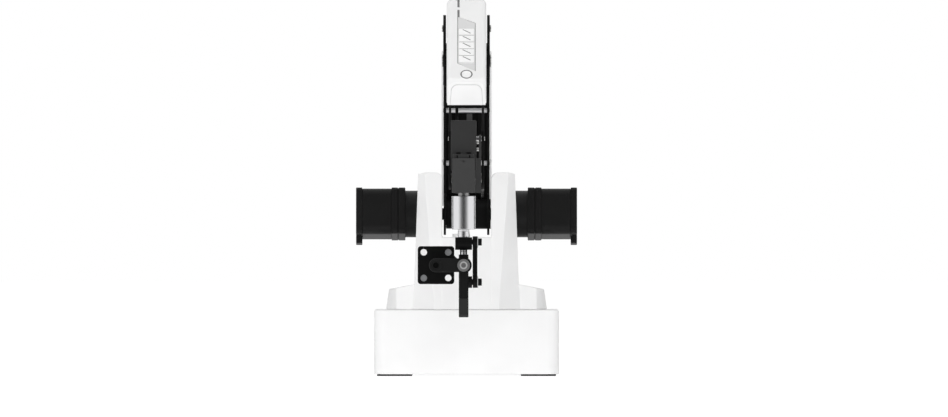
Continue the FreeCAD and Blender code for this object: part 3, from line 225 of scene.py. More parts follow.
def sinkPicked(depth):
    bpy.ops.mesh.extrude_region_shrink_fatten(TRANSFORM_OT_shrink_fatten={"value": -depth * mm})
    endEdit()


def cutGroove(piece, axis, low, high, depth):
    # two saw cuts across an axis and the band between them sunk, all in mm
    sawCut(piece, axis, low)
    sawCut(piece, axis, high)
    pick(piece, "FACE", lambda centre, way: low * mm < centre[axis] < high * mm and abs(way[axis]) < 0.5)
    sinkPicked(depth)


def sinkFaces(piece, test, step, depth, each=False):
    # leaves a rim of a step's width round the faces that pass the test and sinks them, in mm
    pick(piece, "FACE", test)
    bpy.ops.mesh.inset(thickness=step * mm, use_individual=each)
    sinkPicked(depth)


# colours and materials

def ink(code):
    # an sRGB hex colour as linear values
    values = []
    for start in (0, 2, 4):
        share = int(code[start:start + 2], 16) / 255
        values.append(share / 12.92 if share <= 0.04045 else ((share + 0.055) / 1.055) ** 2.4)
    return (*values, 1)


def addNode(tree, kind, settings=None, links=None):
    node = tree.nodes.new(kind)
    for name, value in (settings or {}).items():
        if name in node.inputs:
            node.inputs[name].default_value = value
        else:
            setattr(node, name, value)
    for name, source in (links or {}).items():
        tree.links.new(source, node.inputs[name])
    return node


def newMaterial(name, **settings):
    material = bpy.data.materials.new(name)
    material.use_nodes = True
    tree = material.node_tree
    shader = tree.nodes["Principled BSDF"]
    for socket, value in settings.items():
        shader.inputs[socket.replace("_", " ")].default_value = value
    return material, tree, shader


def layTones(tree, shader, tones, share, grain, gloss, relief):
    # two close tones mixed by one pattern, with the gloss and the relief of another
    mix = addNode(tree, "ShaderNodeMix", {"data_type": "RGBA"}, {0: share})
    for socket, tone in zip((7, 6), tones):
        mix.inputs[socket].default_value = ink(tone)
    tree.links.new(mix.outputs[2], shader.inputs["Base Color"])
    middle, spread = gloss
    dull = addNode(tree, "ShaderNodeMapRange", {"To Min": middle - spread, "To Max": middle + spread},
                   {"Value": grain})
    tree.links.new(dull.outputs["Result"], shader.inputs["Roughness"])
    strength, depth = relief
    bump = addNode(tree, "ShaderNodeBump", {"Strength": strength, "Distance": depth * mm}, {"Height": grain})
    tree.links.new(bump.outputs["Normal"], shader.inputs["Normal"])


plasticLook = {"drift": 45, "band": (0.35, 0.6), "gloss": 0.06, "bump": 0.5}  # drift in mm


def mouldedPlastic(name, tone, shade, roughness, grain, relief, specular=0.5):
    # injection-moulded plastic: an even satin skin from an etched mould, with a slow drift in tone
    # grain is the etching's size and relief its depth, in mm
    material, tree, shader = newMaterial(name, IOR=1.53, Specular_IOR_Level=specular)
    point = addNode(tree, "ShaderNodeTexCoord").outputs["Object"]
    etch = addNode(tree, "ShaderNodeTexNoise", {"Scale": 1000 / grain, "Detail": 3.0}, {"Vector": point})
    drift = addNode(tree, "ShaderNodeTexNoise", {"Scale": 1000 / plasticLook["drift"], "Detail": 2.0},
                    {"Vector": point})
    low, high = plasticLook["band"]
    share = addNode(tree, "ShaderNodeMapRange", {"From Min": low, "From Max": high},
                    {"Value": drift.outputs["Fac"]})
    layTones(tree, shader, (tone, shade), share.outputs["Result"], etch.outputs["Fac"],
             (roughness, plasticLook["gloss"]), (plasticLook["bump"], relief))
    return material


sheetLook = {"cloud": 18, "gloss": 0.08, "relief": (0.35, 0.02)}  # cloud in mm; bump strength and depth in mm


def coatedSheet(name, tone, shade, roughness, grit, specular=0.3):
    # anodised, plated or painted metal: even and fine-grained, with a dull sheen; grit in mm
    material, tree, shader = newMaterial(name, IOR=1.5, Specular_IOR_Level=specular)
    point = addNode(tree, "ShaderNodeTexCoord").outputs["Object"]
    grain = addNode(tree, "ShaderNodeTexNoise", {"Scale": 1000 / grit, "Detail": 4.0}, {"Vector": point})
    cloud = addNode(tree, "ShaderNodeTexNoise", {"Scale": 1000 / sheetLook["cloud"], "Detail": 3.0},
                    {"Vector": point})
    layTones(tree, shader, (tone, shade), cloud.outputs["Fac"], grain.outputs["Fac"],
             (roughness, sheetLook["gloss"]), sheetLook["relief"])
    return material


metalLook = {"gloss": 0.05, "relief": (0.05, 0.01), "wobble": 0.2}  # bump strength and depth in mm


def turnedMetal(name, tone, shade, roughness, ringGap, axis):
    # lathe-turned metal: bright, with fine rings across its axis that spread the highlights; gap in mm
    material, tree, shader = newMaterial(name, Metallic=1.0, Anisotropic=0.4)
    point = addNode(tree, "ShaderNodeTexCoord").outputs["Object"]
    scale = math.pi / 10 / (ringGap * mm)  # a wave repeats every pi / 10 over its scale
    rings = addNode(tree, "ShaderNodeTexWave", {"bands_direction": axis, "Scale": scale, "Detail": 2.0,
                                                "Distortion": metalLook["wobble"], "Detail Scale": 2.0},
                    {"Vector": point})
    layTones(tree, shader, (tone, shade), rings.outputs["Fac"], rings.outputs["Fac"],
             (roughness, metalLook["gloss"]), metalLook["relief"])
    return material


# etching of 0.5 mm is drawn at 1.2 mm and grit of 0.1 mm at 0.6 mm, or they would not show
whiteAbs = mouldedPlastic("White moulded ABS", "f6f6f6", "f2f2f2", 0.45, 1.2, 0.02)
paleAbs = mouldedPlastic("Pale grey moulded ABS", "f0f0f0", "ececec", 0.42, 1.2, 0.02)
# the socket panel's own grey, also used for the chin's seam plate, where it is painted shade
panelGreyAndSeamShade = mouldedPlastic("Grey socket panel ABS and painted seam shade", "d9d9d9", "d3d3d3", 0.45, 1.2, 0.02)
# painted shade: this grey stands for the shade in seams, slits and gaps, which the shadowless lamps leave lit
seamShade = mouldedPlastic("Grey painted seam shade", "7c7c7c", "747474", 0.7, 1.0, 0.02, 0.2)
socketNylon = mouldedPlastic("White moulded nylon", "fafafa", "f6f6f6", 0.38, 0.9, 0.01)
blackAbs = mouldedPlastic("Black moulded ABS", "161616", "121212", 0.5, 1.0, 0.03, 0.15)
servoCase = mouldedPlastic("Servo case nylon", "303030", "2c2c2c", 0.48, 1.0, 0.03, 0.2)
blackSheet = coatedSheet("Black anodised sheet", "0d0d0d", "0a0a0a", 0.5, 0.6, 0.12)
bracketSheet = coatedSheet("Dark grey anodised sheet", "3d3d3d", "393939", 0.5, 0.6, 0.2)
motorPaint = coatedSheet("Black motor enamel", "171717", "131313", 0.45, 0.5, 0.16)
gripperBlack = coatedSheet("Black anodised gripper", "0c0c0c", "080808", 0.46, 0.6, 0.12)
boltZinc = coatedSheet("Zinc plated bolt", "6a6a6a", "5e5e5e", 0.42, 0.4, 0.5)
washerZinc = coatedSheet("Pale zinc washer", "b4b4b4", "a6a6a6", 0.4, 0.4, 0.5)
jawGrey = coatedSheet("Grey jaw tip anodising", "242424", "1f1f1f", 0.5, 0.6, 0.2)
crossBlack = coatedSheet("Black anodised crosshead", "171717", "131313", 0.5, 0.6, 0.16)
# painted shade: the rod's face is seen at the bottom of the nut's bore, and its near-black stands for the shade
# in that bore
boreShadeBlack = coatedSheet("Near-black rod steel with painted bore shade", "080808", "050505", 0.5, 0.6, 0.1)
cylinderGrey = coatedSheet("Hard anodised cylinder", "8a8b8d", "808183", 0.42, 0.6, 0.5)
turnedSilver = turnedMetal("Turned aluminium", "e4e4e6", "d6d6d8", 0.2, 0.5, "Z")
crossSilver = turnedMetal("Satin aluminium spacer", "efeff0", "e2e2e4", 0.5, 0.5, "X")
brightSteel = turnedMetal("Plated steel screw", "d8d8d6", "c6c6c4", 0.28, 0.4, "X")
shaftSteel = turnedMetal("Ground steel", "9c9c9c", "8a8a8a", 0.3, 0.4, "Y")
footRubber = mouldedPlastic("Black rubber", "1c1c1c", "161616", 0.8, 1.5, 0.05, 0.2)
boardGreen = mouldedPlastic("Circuit board", "1d5a38", "184b2f", 0.4, 1.5, 0.01)
print("materials made")


# base: a box on rubber feet, with the connector panel behind

baseFinish = {  # material and softened edge in mm
    "base_shell": (whiteAbs, 0.5), "base_plate": (blackSheet, 0.4), "foot_pads": (footRubber, 0.3),
    "rear_panel": (blackAbs, 0.25), "rear_ports": (blackAbs, 0.35), "power_button": (blackAbs, 0.5),
}
for node, (material, width) in baseFinish.items():
    dress(node, material, width)
insideFinish = {"control_board": boardGreen, "yaw_motor": motorPaint, "yaw_gearbox": shaftSteel,
                "slew_ring": shaftSteel, "turntable": turnedSilver}
for node, material in insideFinish.items():  # closed in, so the plain solids stay
    frame["nodes"][node].data.materials.clear()
    frame["nodes"][node].data.materials.append(material)
print("base dressed")

# turret: two towers beside the arm's slot

turretLook = {"slotEdge": 21.0, "slotTop": 150.0, "slotRound": 5.5, "near": 0.01, "edge": 0.6,
              "bracketEdge": 0.4}  # mm


def makeTurret():
    piece = copyNode("turret_shell", "turretShell")
    wall = turretLook["slotEdge"] * mm
    top = turretLook["slotTop"] * mm
    near = turretLook["near"] * mm

    def atSlotTop(start, end):
        onWall = all(abs(abs(spot.x) - wall) < near and spot.z > top for spot in (start, end))
        return onWall and abs(start.x - end.x) < wall

    pick(piece, "EDGE", atSlotTop)
    bpy.ops.mesh.bevel(offset=turretLook["slotRound"] * mm, segments=6, affect="EDGES", clamp_overlap=False)
    endEdit()
    softenEdges(piece, turretLook["edge"], 3)
    settle(piece, "turret", slotOf["turret_shell"], whiteAbs, "turret_shell")


makeTurret()
dress("anchor_bracket", whiteAbs, turretLook["bracketEdge"])

motorLook = {"groove": (58.2, 58.9), "grooveDepth": 0.7, "edge": 0.5}  # mm


def makeMotor(side, sign):
    gearbox = copyNode(side + "_gearbox", side + "Gearbox")
    low, high = sorted(sign * level for level in motorLook["groove"])
    cutGroove(gearbox, 0, low, high, motorLook["grooveDepth"])
    softenEdges(gearbox, motorLook["edge"])
    settle(gearbox, "turret", slotOf[side + "_gearbox"], motorPaint, side + "_gearbox")
    dress(side + "_motor", motorPaint, motorLook["edge"])
    dress(side + "_motor_cap", blackAbs, motorLook["edge"])


makeMotor("left", -1)
makeMotor("right", 1)
print("turret dressed")

# rear arm and linkage

shadeSheetLook = {"deep": 50.0, "middle": 1.0, "thick": 0.4}  # mm


def makeShadeSheet():
    # a black sheet of painted shade on the arm cover's inner wall, which the shadowless lamps would otherwise
    # light
    shadeSheet = copyNode("rear_arm_cover", "armLiner")
    deep, middle = shadeSheetLook["deep"] * mm, shadeSheetLook["middle"] * mm
    # the faces that look forward or down into the arm
    pick(shadeSheet, "FACE", lambda centre, way: way.y < -0.2 and abs(centre.x) < middle
         and (centre.y > deep or way.z < -0.5))
    bpy.ops.mesh.select_all(action="INVERT")
    bpy.ops.mesh.delete(type="FACE")
    endEdit()
    chooseOnly(shadeSheet)
    sheet = shadeSheet.modifiers.new("sheet", "SOLIDIFY")
    sheet.thickness = shadeSheetLook["thick"] * mm
    sheet.offset = 1.0
    bpy.ops.object.modifier_apply(modifier=sheet.name)
    evenShade(shadeSheet)
    settle(shadeSheet, "rear_arm", slotOf["rear_arm_plate_left"], blackSheet)


makeShadeSheet()

armFinish = {
    "rear_arm_spacers": (crossSilver, 0.2), "elbow_shaft": (shaftSteel, 0.3), "shoulder_shaft": (blackSheet, 0.3),
    "elbow_triangle": (blackSheet, 0.35), "level_link_rear": (blackSheet, 0.35),
    "level_link_front": (blackSheet, 0.35), "forearm_crank": (blackSheet, 0.4), "crank_bush": (shaftSteel, 0.2),
    "drive_rod": (blackSheet, 0.35),
}
for node, (material, width) in armFinish.items():
    dress(node, material, width)

shellLook = {  # mm and degrees
    "edge": 0.6, "tilt": 5.77, "middle": (62.0, 205.0), "half": 44.0, "lines": (-5.5, -11.0), "lineHalf": 0.6,
    "inside": 21.0, "over": 2.0,
}


def makeArmShell():
    # the white back of the rear arm, with two long grooves in each side
    look = shellLook
    shell = copyNode("rear_arm_cover", "rearArmShell")
    softenEdges(shell, look["edge"])
    wide, half = look["lineHalf"], look["half"]
    for sign in (-1, 1):
        start, end = sorted((sign * look["inside"], sign * (look["inside"] + look["over"])))
        for depth in look["lines"]:
            line = makeBox("lineCut", (start, -wide, -half), (end, wide, half))
            place(line, (0, look["middle"][0] + depth, look["middle"][1]), (look["tilt"], 0, 0))
            carve(shell, line)
    evenShade(shell)
    settle(shell, "rear_arm", slotOf["rear_arm_cover"], whiteAbs, "rear_arm_cover")


makeArmShell()

elbowLook = {  # mm
    "plateTop": 308.8, "plateEdge": 0.35, "capsFrom": 20.2, "screwsFrom": 19.0, "capThin": 0.6, "capEdge": 0.3,
    "near": 0.02, "socket": (0.55, 0.7),
}


def makeElbow():
    look = elbowLook
    for side in ("left", "right"):
        plate = copyNode("rear_arm_plate_" + side, side + "RearPlate")
        sawCut(plate, 2, look["plateTop"], clear_outer=True, use_fill=True)
        softenEdges(plate, look["plateEdge"])
        settle(plate, "rear_arm", slotOf["rear_arm_plate_left"], blackSheet, "rear_arm_plate_" + side)
    caps = copyNode("elbow_caps", "elbowCaps")
    screws = copyNode("elbow_screws", "elbowScrews")
    for sign in (-1, 1):  # the caps lie nearly flush, and the screws sit on them
        for piece, level in ((caps, look["capsFrom"]), (screws, look["screwsFrom"])):
            pick(piece, "VERT", lambda spot: spot.x * sign > level * mm)
            bpy.ops.transform.translate(value=(-sign * look["capThin"] * mm, 0, 0))
            endEdit()
    softenEdges(caps, look["capEdge"])
    settle(caps, "rear_arm", slotOf["elbow_caps"], blackSheet, "elbow_caps")
    softenEdges(screws, look["capEdge"])
    outer = max(vertex.co.x for vertex in screws.data.vertices) - look["near"] * mm
    sinkFaces(screws, lambda centre, way: abs(centre.x) > outer, *look["socket"], each=True)
    evenShade(screws)
    settle(screws, "rear_arm", slotOf["elbow_screws"], brightSteel, "elbow_screws")


makeElbow()

drumLook = {"radius": 12.6, "from": -17.5, "to": -11.6, "shoulder": (0, 0, 138.3), "step": (2.2, 1.0),
            "middle": 1.0, "edge": 0.35}  # mm


def makeDrum():
    # the black hub that carries the left arm plate on its gearbox shaft
    look = drumLook
    drum = makeDisc("shoulderDrum", 0, look["radius"], look["from"], look["to"], look["shoulder"])
    for ring in range(2):
        sinkFaces(drum, lambda centre, way: way.x > 0.9 and abs(centre.y) < look["middle"] * mm, *look["step"])
    addTrim(drum, look["edge"], "rear_arm", "shoulder_shaft", blackSheet)


makeDrum()
print("rear arm dressed")

# forearm, drawn level from the elbow (across, -along, up) and then tilted into place

forearmFinish = {
    "forearm_plate_left": (blackSheet, 0.35), "forearm_plate_right": (blackSheet, 0.35),
    "forearm_spacers": (crossSilver, 0.2), "wrist_axle": (brightSteel, 0.3), "drive_pin": (shaftSteel, 0.3),
}
for node, (material, width) in forearmFinish.items():
    dress(node, material, width)

elbow = {"spot": (0, 2.414, 278.923), "turn": (45, 0, 0)}  # mm and degrees
coverLook = {  # mm
    "edge": 0.8, "top": 76.0, "over": 2.0, "sunk": 75.1, "seamHigh": 75.3, "panelHigh": 75.75, "panelHalf": 7.8,
    "seam": 0.55, "gap": 0.05, "trim": 0.08, "parted": -70.0, "window": ((-6.75, -93.0, 70), (6.75, -51.4, 80)),
    "panelEnds": ((36.2, 44.0), (93.4, 103.0)),  # along the arm at the left and right, upper and lower end
    "lines": (62.5, 69.0), "lineHalf": 0.6, "lineInside": 16.3, "lineStart": 22.0, "lineEnd": 112.0,  # both sides
    "tail": 19.0, "tailIn": 2.0, "channel": (-7.8, -5.9), "channelRuns": ((8.0, 25.2), (27.6, 40.0)),
    "stripRuns": ((14.5, 25.1), (27.7, 36.5)),
}
chinLook = {  # mm: the framed front below the slope
    "face": -130.55, "sunk": -129.95, "top": 248.6, "foot": 231.0, "halfTop": 13.0, "halfFoot": 14.4,
    "round": 5.0, "footFrom": 1.0, "near": 0.01, "upright": 0.1,
    "seam": 0.7, "seamProud": 0.15, "rim": -1.9, "rimProud": 0.35, "rimIn": 1.0, "rimEdge": 0.15, "over": 3.0,
    "cutNear": 2.0, "cutFoot": 5.0, "bar": ((-14.6, -129.6, 228.4), (14.6, -124.5, 230.7)), "shadeBarEdge": 0.3,
}


def slantedPlate(name, shrink, low, high):
    half = coverLook["panelHalf"] - shrink
    parted = coverLook["parted"] * mm
    (headLeft, headRight), (footLeft, footRight) = coverLook["panelEnds"]
    plate = makeBox(name, (-half, shrink - footRight, low), (half, -headLeft - shrink, high))
    pick(plate, "VERT", lambda spot: spot.x > 0 and spot.y > parted)
    bpy.ops.transform.translate(value=(0, (headLeft - headRight) * mm, 0))
    endEdit()
    pick(plate, "VERT", lambda spot: spot.x < 0 and spot.y < parted)
    bpy.ops.transform.translate(value=(0, (footRight - footLeft) * mm, 0))
    endEdit()
    return plate


def archPlate(name, shrink, near, far, foot):
    look = chinLook
    half = look["halfTop"] - shrink
    plate = makeBox(name, (-half, near, foot), (half, far, look["top"] - shrink))
    flare = (look["halfFoot"] - look["halfTop"]) * mm
    footHigh = (foot + look["footFrom"]) * mm
    for sign in (-1, 1):
        pick(plate, "VERT", lambda spot: spot.x * sign > 0 and spot.z < footHigh)
        bpy.ops.transform.translate(value=(sign * flare, 0, 0))
        endEdit()
    high = (look["top"] - shrink - look["near"]) * mm
    upright = look["upright"] * mm
    pick(plate, "EDGE", lambda start, end: min(start.z, end.z) > high and abs(start.x - end.x) < upright)
    bpy.ops.mesh.bevel(offset=look["round"] * mm, segments=6, affect="EDGES")
    endEdit()
    return plate


def makeForearmCover():
    look = coverLook
    cover = copyNode("forearm_cover", "forearmCover")
    along = Vector((0, -1, -1)).normalized()
    back = (Vector(elbow["spot"]) * mm).dot(along) + look["tail"] * mm
    pick(cover, "VERT", lambda spot: spot.dot(along) < back)
    bpy.ops.transform.translate(value=along * look["tailIn"] * mm)
    endEdit()
    softenEdges(cover, look["edge"])
    over = look["top"] + look["over"]
    cutters = [slantedPlate("panelCut", 0, look["sunk"], over)]
    left, right = look["channel"]
    for index, (start, end) in enumerate(look["channelRuns"]):
        cutters.append(makeBox("channelCut" + str(index), (left, -end, look["sunk"]), (right, -start, over)))
    for sign in (-1, 1):
        start, end = sorted((sign * look["lineInside"], sign * (look["lineInside"] + look["over"])))
        for level in look["lines"]:
            cutters.append(makeBox("lineCut", (start, -look["lineEnd"], level - look["lineHalf"]),
                                   (end, -look["lineStart"], level + look["lineHalf"])))
    for cutter in cutters:
        place(cutter, **elbow)
    face, sunk, foot = chinLook["face"], chinLook["sunk"], chinLook["foot"]
    carve(cover, *cutters, archPlate("chinCut", 0, face - chinLook["cutNear"], sunk, foot - chinLook["cutFoot"]))
    evenShade(cover)
    settle(cover, "forearm", slotOf["forearm_cover"], paleAbs, "forearm_cover")
    # the sunk panel, with a grey plate under it that shows in the gap round it as a line of painted shade
    for name, shrink, high, material in (("panelSeam", look["gap"], look["seamHigh"], seamShade),
                                         ("socketPanel", look["seam"], look["panelHigh"], panelGreyAndSeamShade)):
        plate = slantedPlate(name, shrink, look["sunk"], high)
        carve(plate, makeBox("windowCut", *look["window"]))
        place(plate, **elbow)
        addTrim(plate, look["trim"], "forearm", "forearm_cover", material)
    # grey strips of painted shade lie on the channel's floor
    for index, (start, end) in enumerate(look["stripRuns"]):
        strip = makeBox("channelSeamShade" + str(index), (left + look["gap"], -end, look["sunk"]),
                        (right - look["gap"], -start, look["seamHigh"]))
        place(strip, **elbow)
        addTrim(strip, look["trim"], "forearm", "forearm_cover", seamShade)
    # the white front panel stands in its own shallow frame, with a rim round it; a grey plate behind it shows in
    # its seam as painted shade, and a black bar below is painted shade under the cover
    for name, shrink, near, material in (("chinSeamShade", look["gap"], sunk - chinLook["seamProud"], panelGreyAndSeamShade),
                                         ("chinPanel", chinLook["seam"], face, whiteAbs)):
        addTrim(archPlate(name, shrink, near, sunk, foot), look["trim"], "forearm", "forearm_cover", material)
    rim = archPlate("chinRim", chinLook["rim"], face - chinLook["rimProud"], sunk + chinLook["rimIn"], foot)
    over = chinLook["over"]
    carve(rim, archPlate("rimCut", 0, face - over, sunk + over, foot - chinLook["cutFoot"]))
    addTrim(rim, chinLook["rimEdge"], "forearm", "forearm_cover", whiteAbs)
    # painted shade: a black bar where the gap under the cover lies in shade
    bar = makeBox("chinBar", *chinLook["bar"])
    addTrim(bar, chinLook["shadeBarEdge"], "forearm", "forearm_plate_left", blackSheet)


makeForearmCover()

socketLook = {  # mm and degrees
    "first": 51.7, "pitch": 8.2, "count": 5, "edge": 0.3, "floor": 76.2, "over": 3.0,
    "slit": (8.4, 1.1), "shift": (0.1, 0.5), "lean": -34, "gap": 0.05, "fill": 76.6, "slitShadeEdge": 0.06,
    "seam": 0.55, "seamHalf": 10.0, "seams": (6.35, 73.0, 76.4), "seamIn": (0.9, 0.2), "seamEdge": 0.08,
}


def makeSockets():
    # five plugs in a row, each with a slanted slit filled with a grey block of painted shade, and thin seams
    # between them over a grey plate of painted shade
    look = socketLook
    sockets = copyNode("connector_sockets", "plugSockets")
    softenEdges(sockets, look["edge"])
    long, wide = (size / 2 for size in look["slit"])
    right, up = look["shift"]
    floor, gap = look["floor"], look["gap"]
    over = floor + look["over"]
    first = makeBox("slitShade", (gap - long, gap - wide, floor), (long - gap, wide - gap, look["fill"]))
    softenEdges(first, look["slitShadeEdge"])
    for index in range(look["count"]):
        middle = (right, up - look["first"] - (index + 0.5) * look["pitch"], 0)
        cutter = makeBox("slitCut", (-long, -wide, floor), (long, wide, over))
        slitShadePiece = copyPiece(first, "slitShade" + str(index))
        for piece in (cutter, slitShadePiece):
            place(piece, middle, (0, 0, look["lean"]))
            place(piece, **elbow)
        carve(sockets, cutter)
        settle(slitShadePiece, "forearm", slotOf["connector_sockets"], seamShade)
    bpy.data.objects.remove(first)
    long, wide = look["seamHalf"], look["seam"] / 2
    for index in range(1, look["count"]):
        middle = -look["first"] - index * look["pitch"]
        cutter = makeBox("seamCut", (-long, middle - wide, floor), (long, middle + wide, over))
        place(cutter, **elbow)
        carve(sockets, cutter)
    window = look["first"] + look["count"] * look["pitch"]
    half, low, high = look["seams"]
    lower, upper = look["seamIn"]
    gaps = makeBox("socketSeamShade", (-half, lower - window, low), (half, -look["first"] - upper, high))
    place(gaps, **elbow)
    addTrim(gaps, look["seamEdge"], "forearm", "connector_sockets", seamShade)
    evenShade(sockets)
    settle(sockets, "forearm", slotOf["connector_sockets"], socketNylon, "connector_sockets")


makeSockets()

buttonLook = {  # mm
    "along": 106.5, "cap": 4.1, "low": 70.5, "high": 76.3, "dish": (1.2, 0.3), "edge": 0.35,
    "ring": 5.3, "ringHigh": 75.95, "ringGap": 0.1, "ringCut": (60, 80), "ringEdge": 0.15,
}


def makeButton():
    look = buttonLook
    spot = (0, -look["along"], 0)
    button = makeDisc("unlockButton", 2, look["cap"], look["low"], look["high"], spot)
    sinkFaces(button, lambda centre, way: way.z > 0.9, *look["dish"])
    place(button, **elbow)
    softenEdges(button, look["edge"], 3)
    settle(button, "unlock_button", slotOf["unlock_button"], whiteAbs, "unlock_button")
    # a grey ring of painted shade fills the gap between the cap and the cover and laps over the cover
    ring = makeDisc("buttonRing", 2, look["ring"], look["low"], look["ringHigh"], spot)
    carve(ring, makeDisc("ringCut", 2, look["cap"] + look["ringGap"], *look["ringCut"], spot))
    place(ring, **elbow)
    addTrim(ring, look["ringEdge"], "forearm", "forearm_cover", seamShade)


makeButton()
print("forearm dressed")

# wrist and tool

wristFinish = {
    "servo_screws": (blackSheet, 0.3), "tool_coupling": (shaftSteel, 0.3), "lock_ring": (blackSheet, 0.5),
    "clamp_sleeve": (turnedSilver, 0.5), "gripper_hub": (gripperBlack, 0.4), "hub_bolts": (gripperBlack, 0.4),
}
for node, (material, width) in wristFinish.items():
    dress(node, material, width)

servoLook = {  # mm
    "edge": 0.6, "topFrom": 218.0, "lower": 1.4, "notches": (-7.8, 2.8), "notch": (0.5, 185.6, 188.2),
    "notchSpan": (-230, -218.5), "tab": ((0.2, -200.0, 216.0), (4.9, -193.0, 223.2)), "tabDish": (0.8, 1.2),
    "tabEdge": 0.3, "bracketEdge": 0.4, "hole": (-2.4, 0, 183.0), "holeRadius": 1.0, "holeSpan": (-230, -219),
    "screws": ((-200.0, 199.0), (-200.0, 193.0)), "screwSpan": (8.4, 10.5), "screwRadius": 1.5,
    "screwDish": (0.5, 0.6), "screwEdge": 0.2,
}


def makeServo():
    look = servoLook
    servo = copyNode("servo", "servoCase")
    pick(servo, "VERT", lambda spot: spot.z > look["topFrom"] * mm)
    bpy.ops.transform.translate(value=(0, 0, -look["lower"] * mm))
    endEdit()
    softenEdges(servo, look["edge"])
    half, low, high = look["notch"]
    near, far = look["notchSpan"]
    for middle in look["notches"]:
        carve(servo, makeBox("notchCut", (middle - half, near, low), (middle + half, far, high)))
    evenShade(servo)
    settle(servo, "wrist_bracket", slotOf["servo"], servoCase, "servo")
    tab = makeBox("servoTab", *look["tab"])
    sinkFaces(tab, lambda centre, way: way.z > 0.9, *look["tabDish"])
    addTrim(tab, look["tabEdge"], "wrist_bracket", "servo", bracketSheet)
    bracket = copyNode("wrist_bracket", "wristBracket")
    softenEdges(bracket, look["bracketEdge"])
    carve(bracket, makeDisc("holeCut", 1, look["holeRadius"], *look["holeSpan"], look["hole"], 24))
    evenShade(bracket)
    settle(bracket, "wrist_bracket", slotOf["wrist_bracket"], bracketSheet, "wrist_bracket")
    first = makeDisc("sideScrew", 0, look["screwRadius"], *look["screwSpan"], (0, 0, 0), 24)
    sinkFaces(first, lambda centre, way: way.x < -0.9, *look["screwDish"])
    softenEdges(first, look["screwEdge"])
    for index, spot in enumerate(look["screws"]):
        screw = copyPiece(first, "sideScrew" + str(index))
        place(screw, (0, *spot))
        settle(screw, "wrist_bracket", slotOf["servo_screws"], brightSteel)
    bpy.data.objects.remove(first)


makeServo()

neckLook = {  # mm
    "axis": (-2.4, -179.56, 0), "upper": (4.95, 118.7, 125.1), "lower": (2.95, 103.8, 107.9),
    "groove": (1.4, 0.9, 0.25), "edge": 0.15,
}


def makeNeck():
    # bright turned collars on the tool's neck, above and below the hub
    start, end, depth = neckLook["groove"]
    for name in ("upper", "lower"):
        radius, low, high = neckLook[name]
        collar = makeDisc(name + "Collar", 2, radius, low, high, neckLook["axis"], 64)
        cutGroove(collar, 2, high - start, high - end, depth)
        addTrim(collar, neckLook["edge"], "tool", "clamp_sleeve", turnedSilver)


makeNeck()

gripperFinish = {
    "front_link": (gripperBlack, 0.4), "rear_link": (gripperBlack, 0.4), "crosshead": (crossBlack, 0.4),
    "piston_rod": (boreShadeBlack, 0.2), "air_cylinder": (cylinderGrey, 0.5), "cylinder_plate": (gripperBlack, 0.4),
}
for node, (material, width) in gripperFinish.items():
    dress(node, material, width)

jawLook = {  # mm
    "tip": 66.6, "edge": 0.4, "boss": (6.9, -196.6, -190.0), "bossEdge": 0.5, "bolt": (-2.4, 0, 94.88),
    "boltEdge": 0.3, "near": 0.02, "socket": (0.6, 1.5), "ring": (3.25, 2.15, -202.2, -201.6), "thinEdge": 0.15,
    "pivots": ((-187.06, 114.58), (-191.26, 80.58)), "washer": (4.7, 3.1, 9.25, 9.85), "middle": -179.56,
    "over": 5.0,
}


def makeRing(name, axis, sizes, middle):
    # sizes are the outer and inner radius and both ends along the axis, in mm
    outer, inner, low, high = sizes
    ring = makeDisc(name, axis, outer, low, high, middle)
    carve(ring, makeDisc(name + "Cut", axis, inner, low - jawLook["over"], high + jawLook["over"], middle))
    softenEdges(ring, jawLook["thinEdge"])
    return ring


def mirrorY(piece, name):
    # a copy on the other side of the tool's axis, with its faces turned outwards again
    twin = copyPiece(piece, name)
    twin.scale.y = -1
    place(twin, (0, 2 * jawLook["middle"], 0))
    bpy.ops.object.mode_set(mode="EDIT")
    bpy.ops.mesh.select_all(action="SELECT")
    bpy.ops.mesh.normals_make_consistent(inside=False)
    endEdit()
    return twin


def makeJaws():
    # each claw is black above and dark grey at its tip, so it is parted at the tip's height
    look = jawLook
    for jaw in ("front_jaw", "rear_jaw"):
        name = jaw.split("_")[0] + "Jaw"
        claw = copyNode(jaw, name)
        tip = copyNode(jaw, name + "Tip")
        sawCut(claw, 2, look["tip"], use_fill=True, clear_inner=True)
        sawCut(tip, 2, look["tip"], use_fill=True, clear_outer=True)
        addTrim(tip, look["edge"], jaw, jaw, jawGrey)
        softenEdges(claw, look["edge"])
        settle(claw, jaw, slotOf[jaw], gripperBlack, jaw)


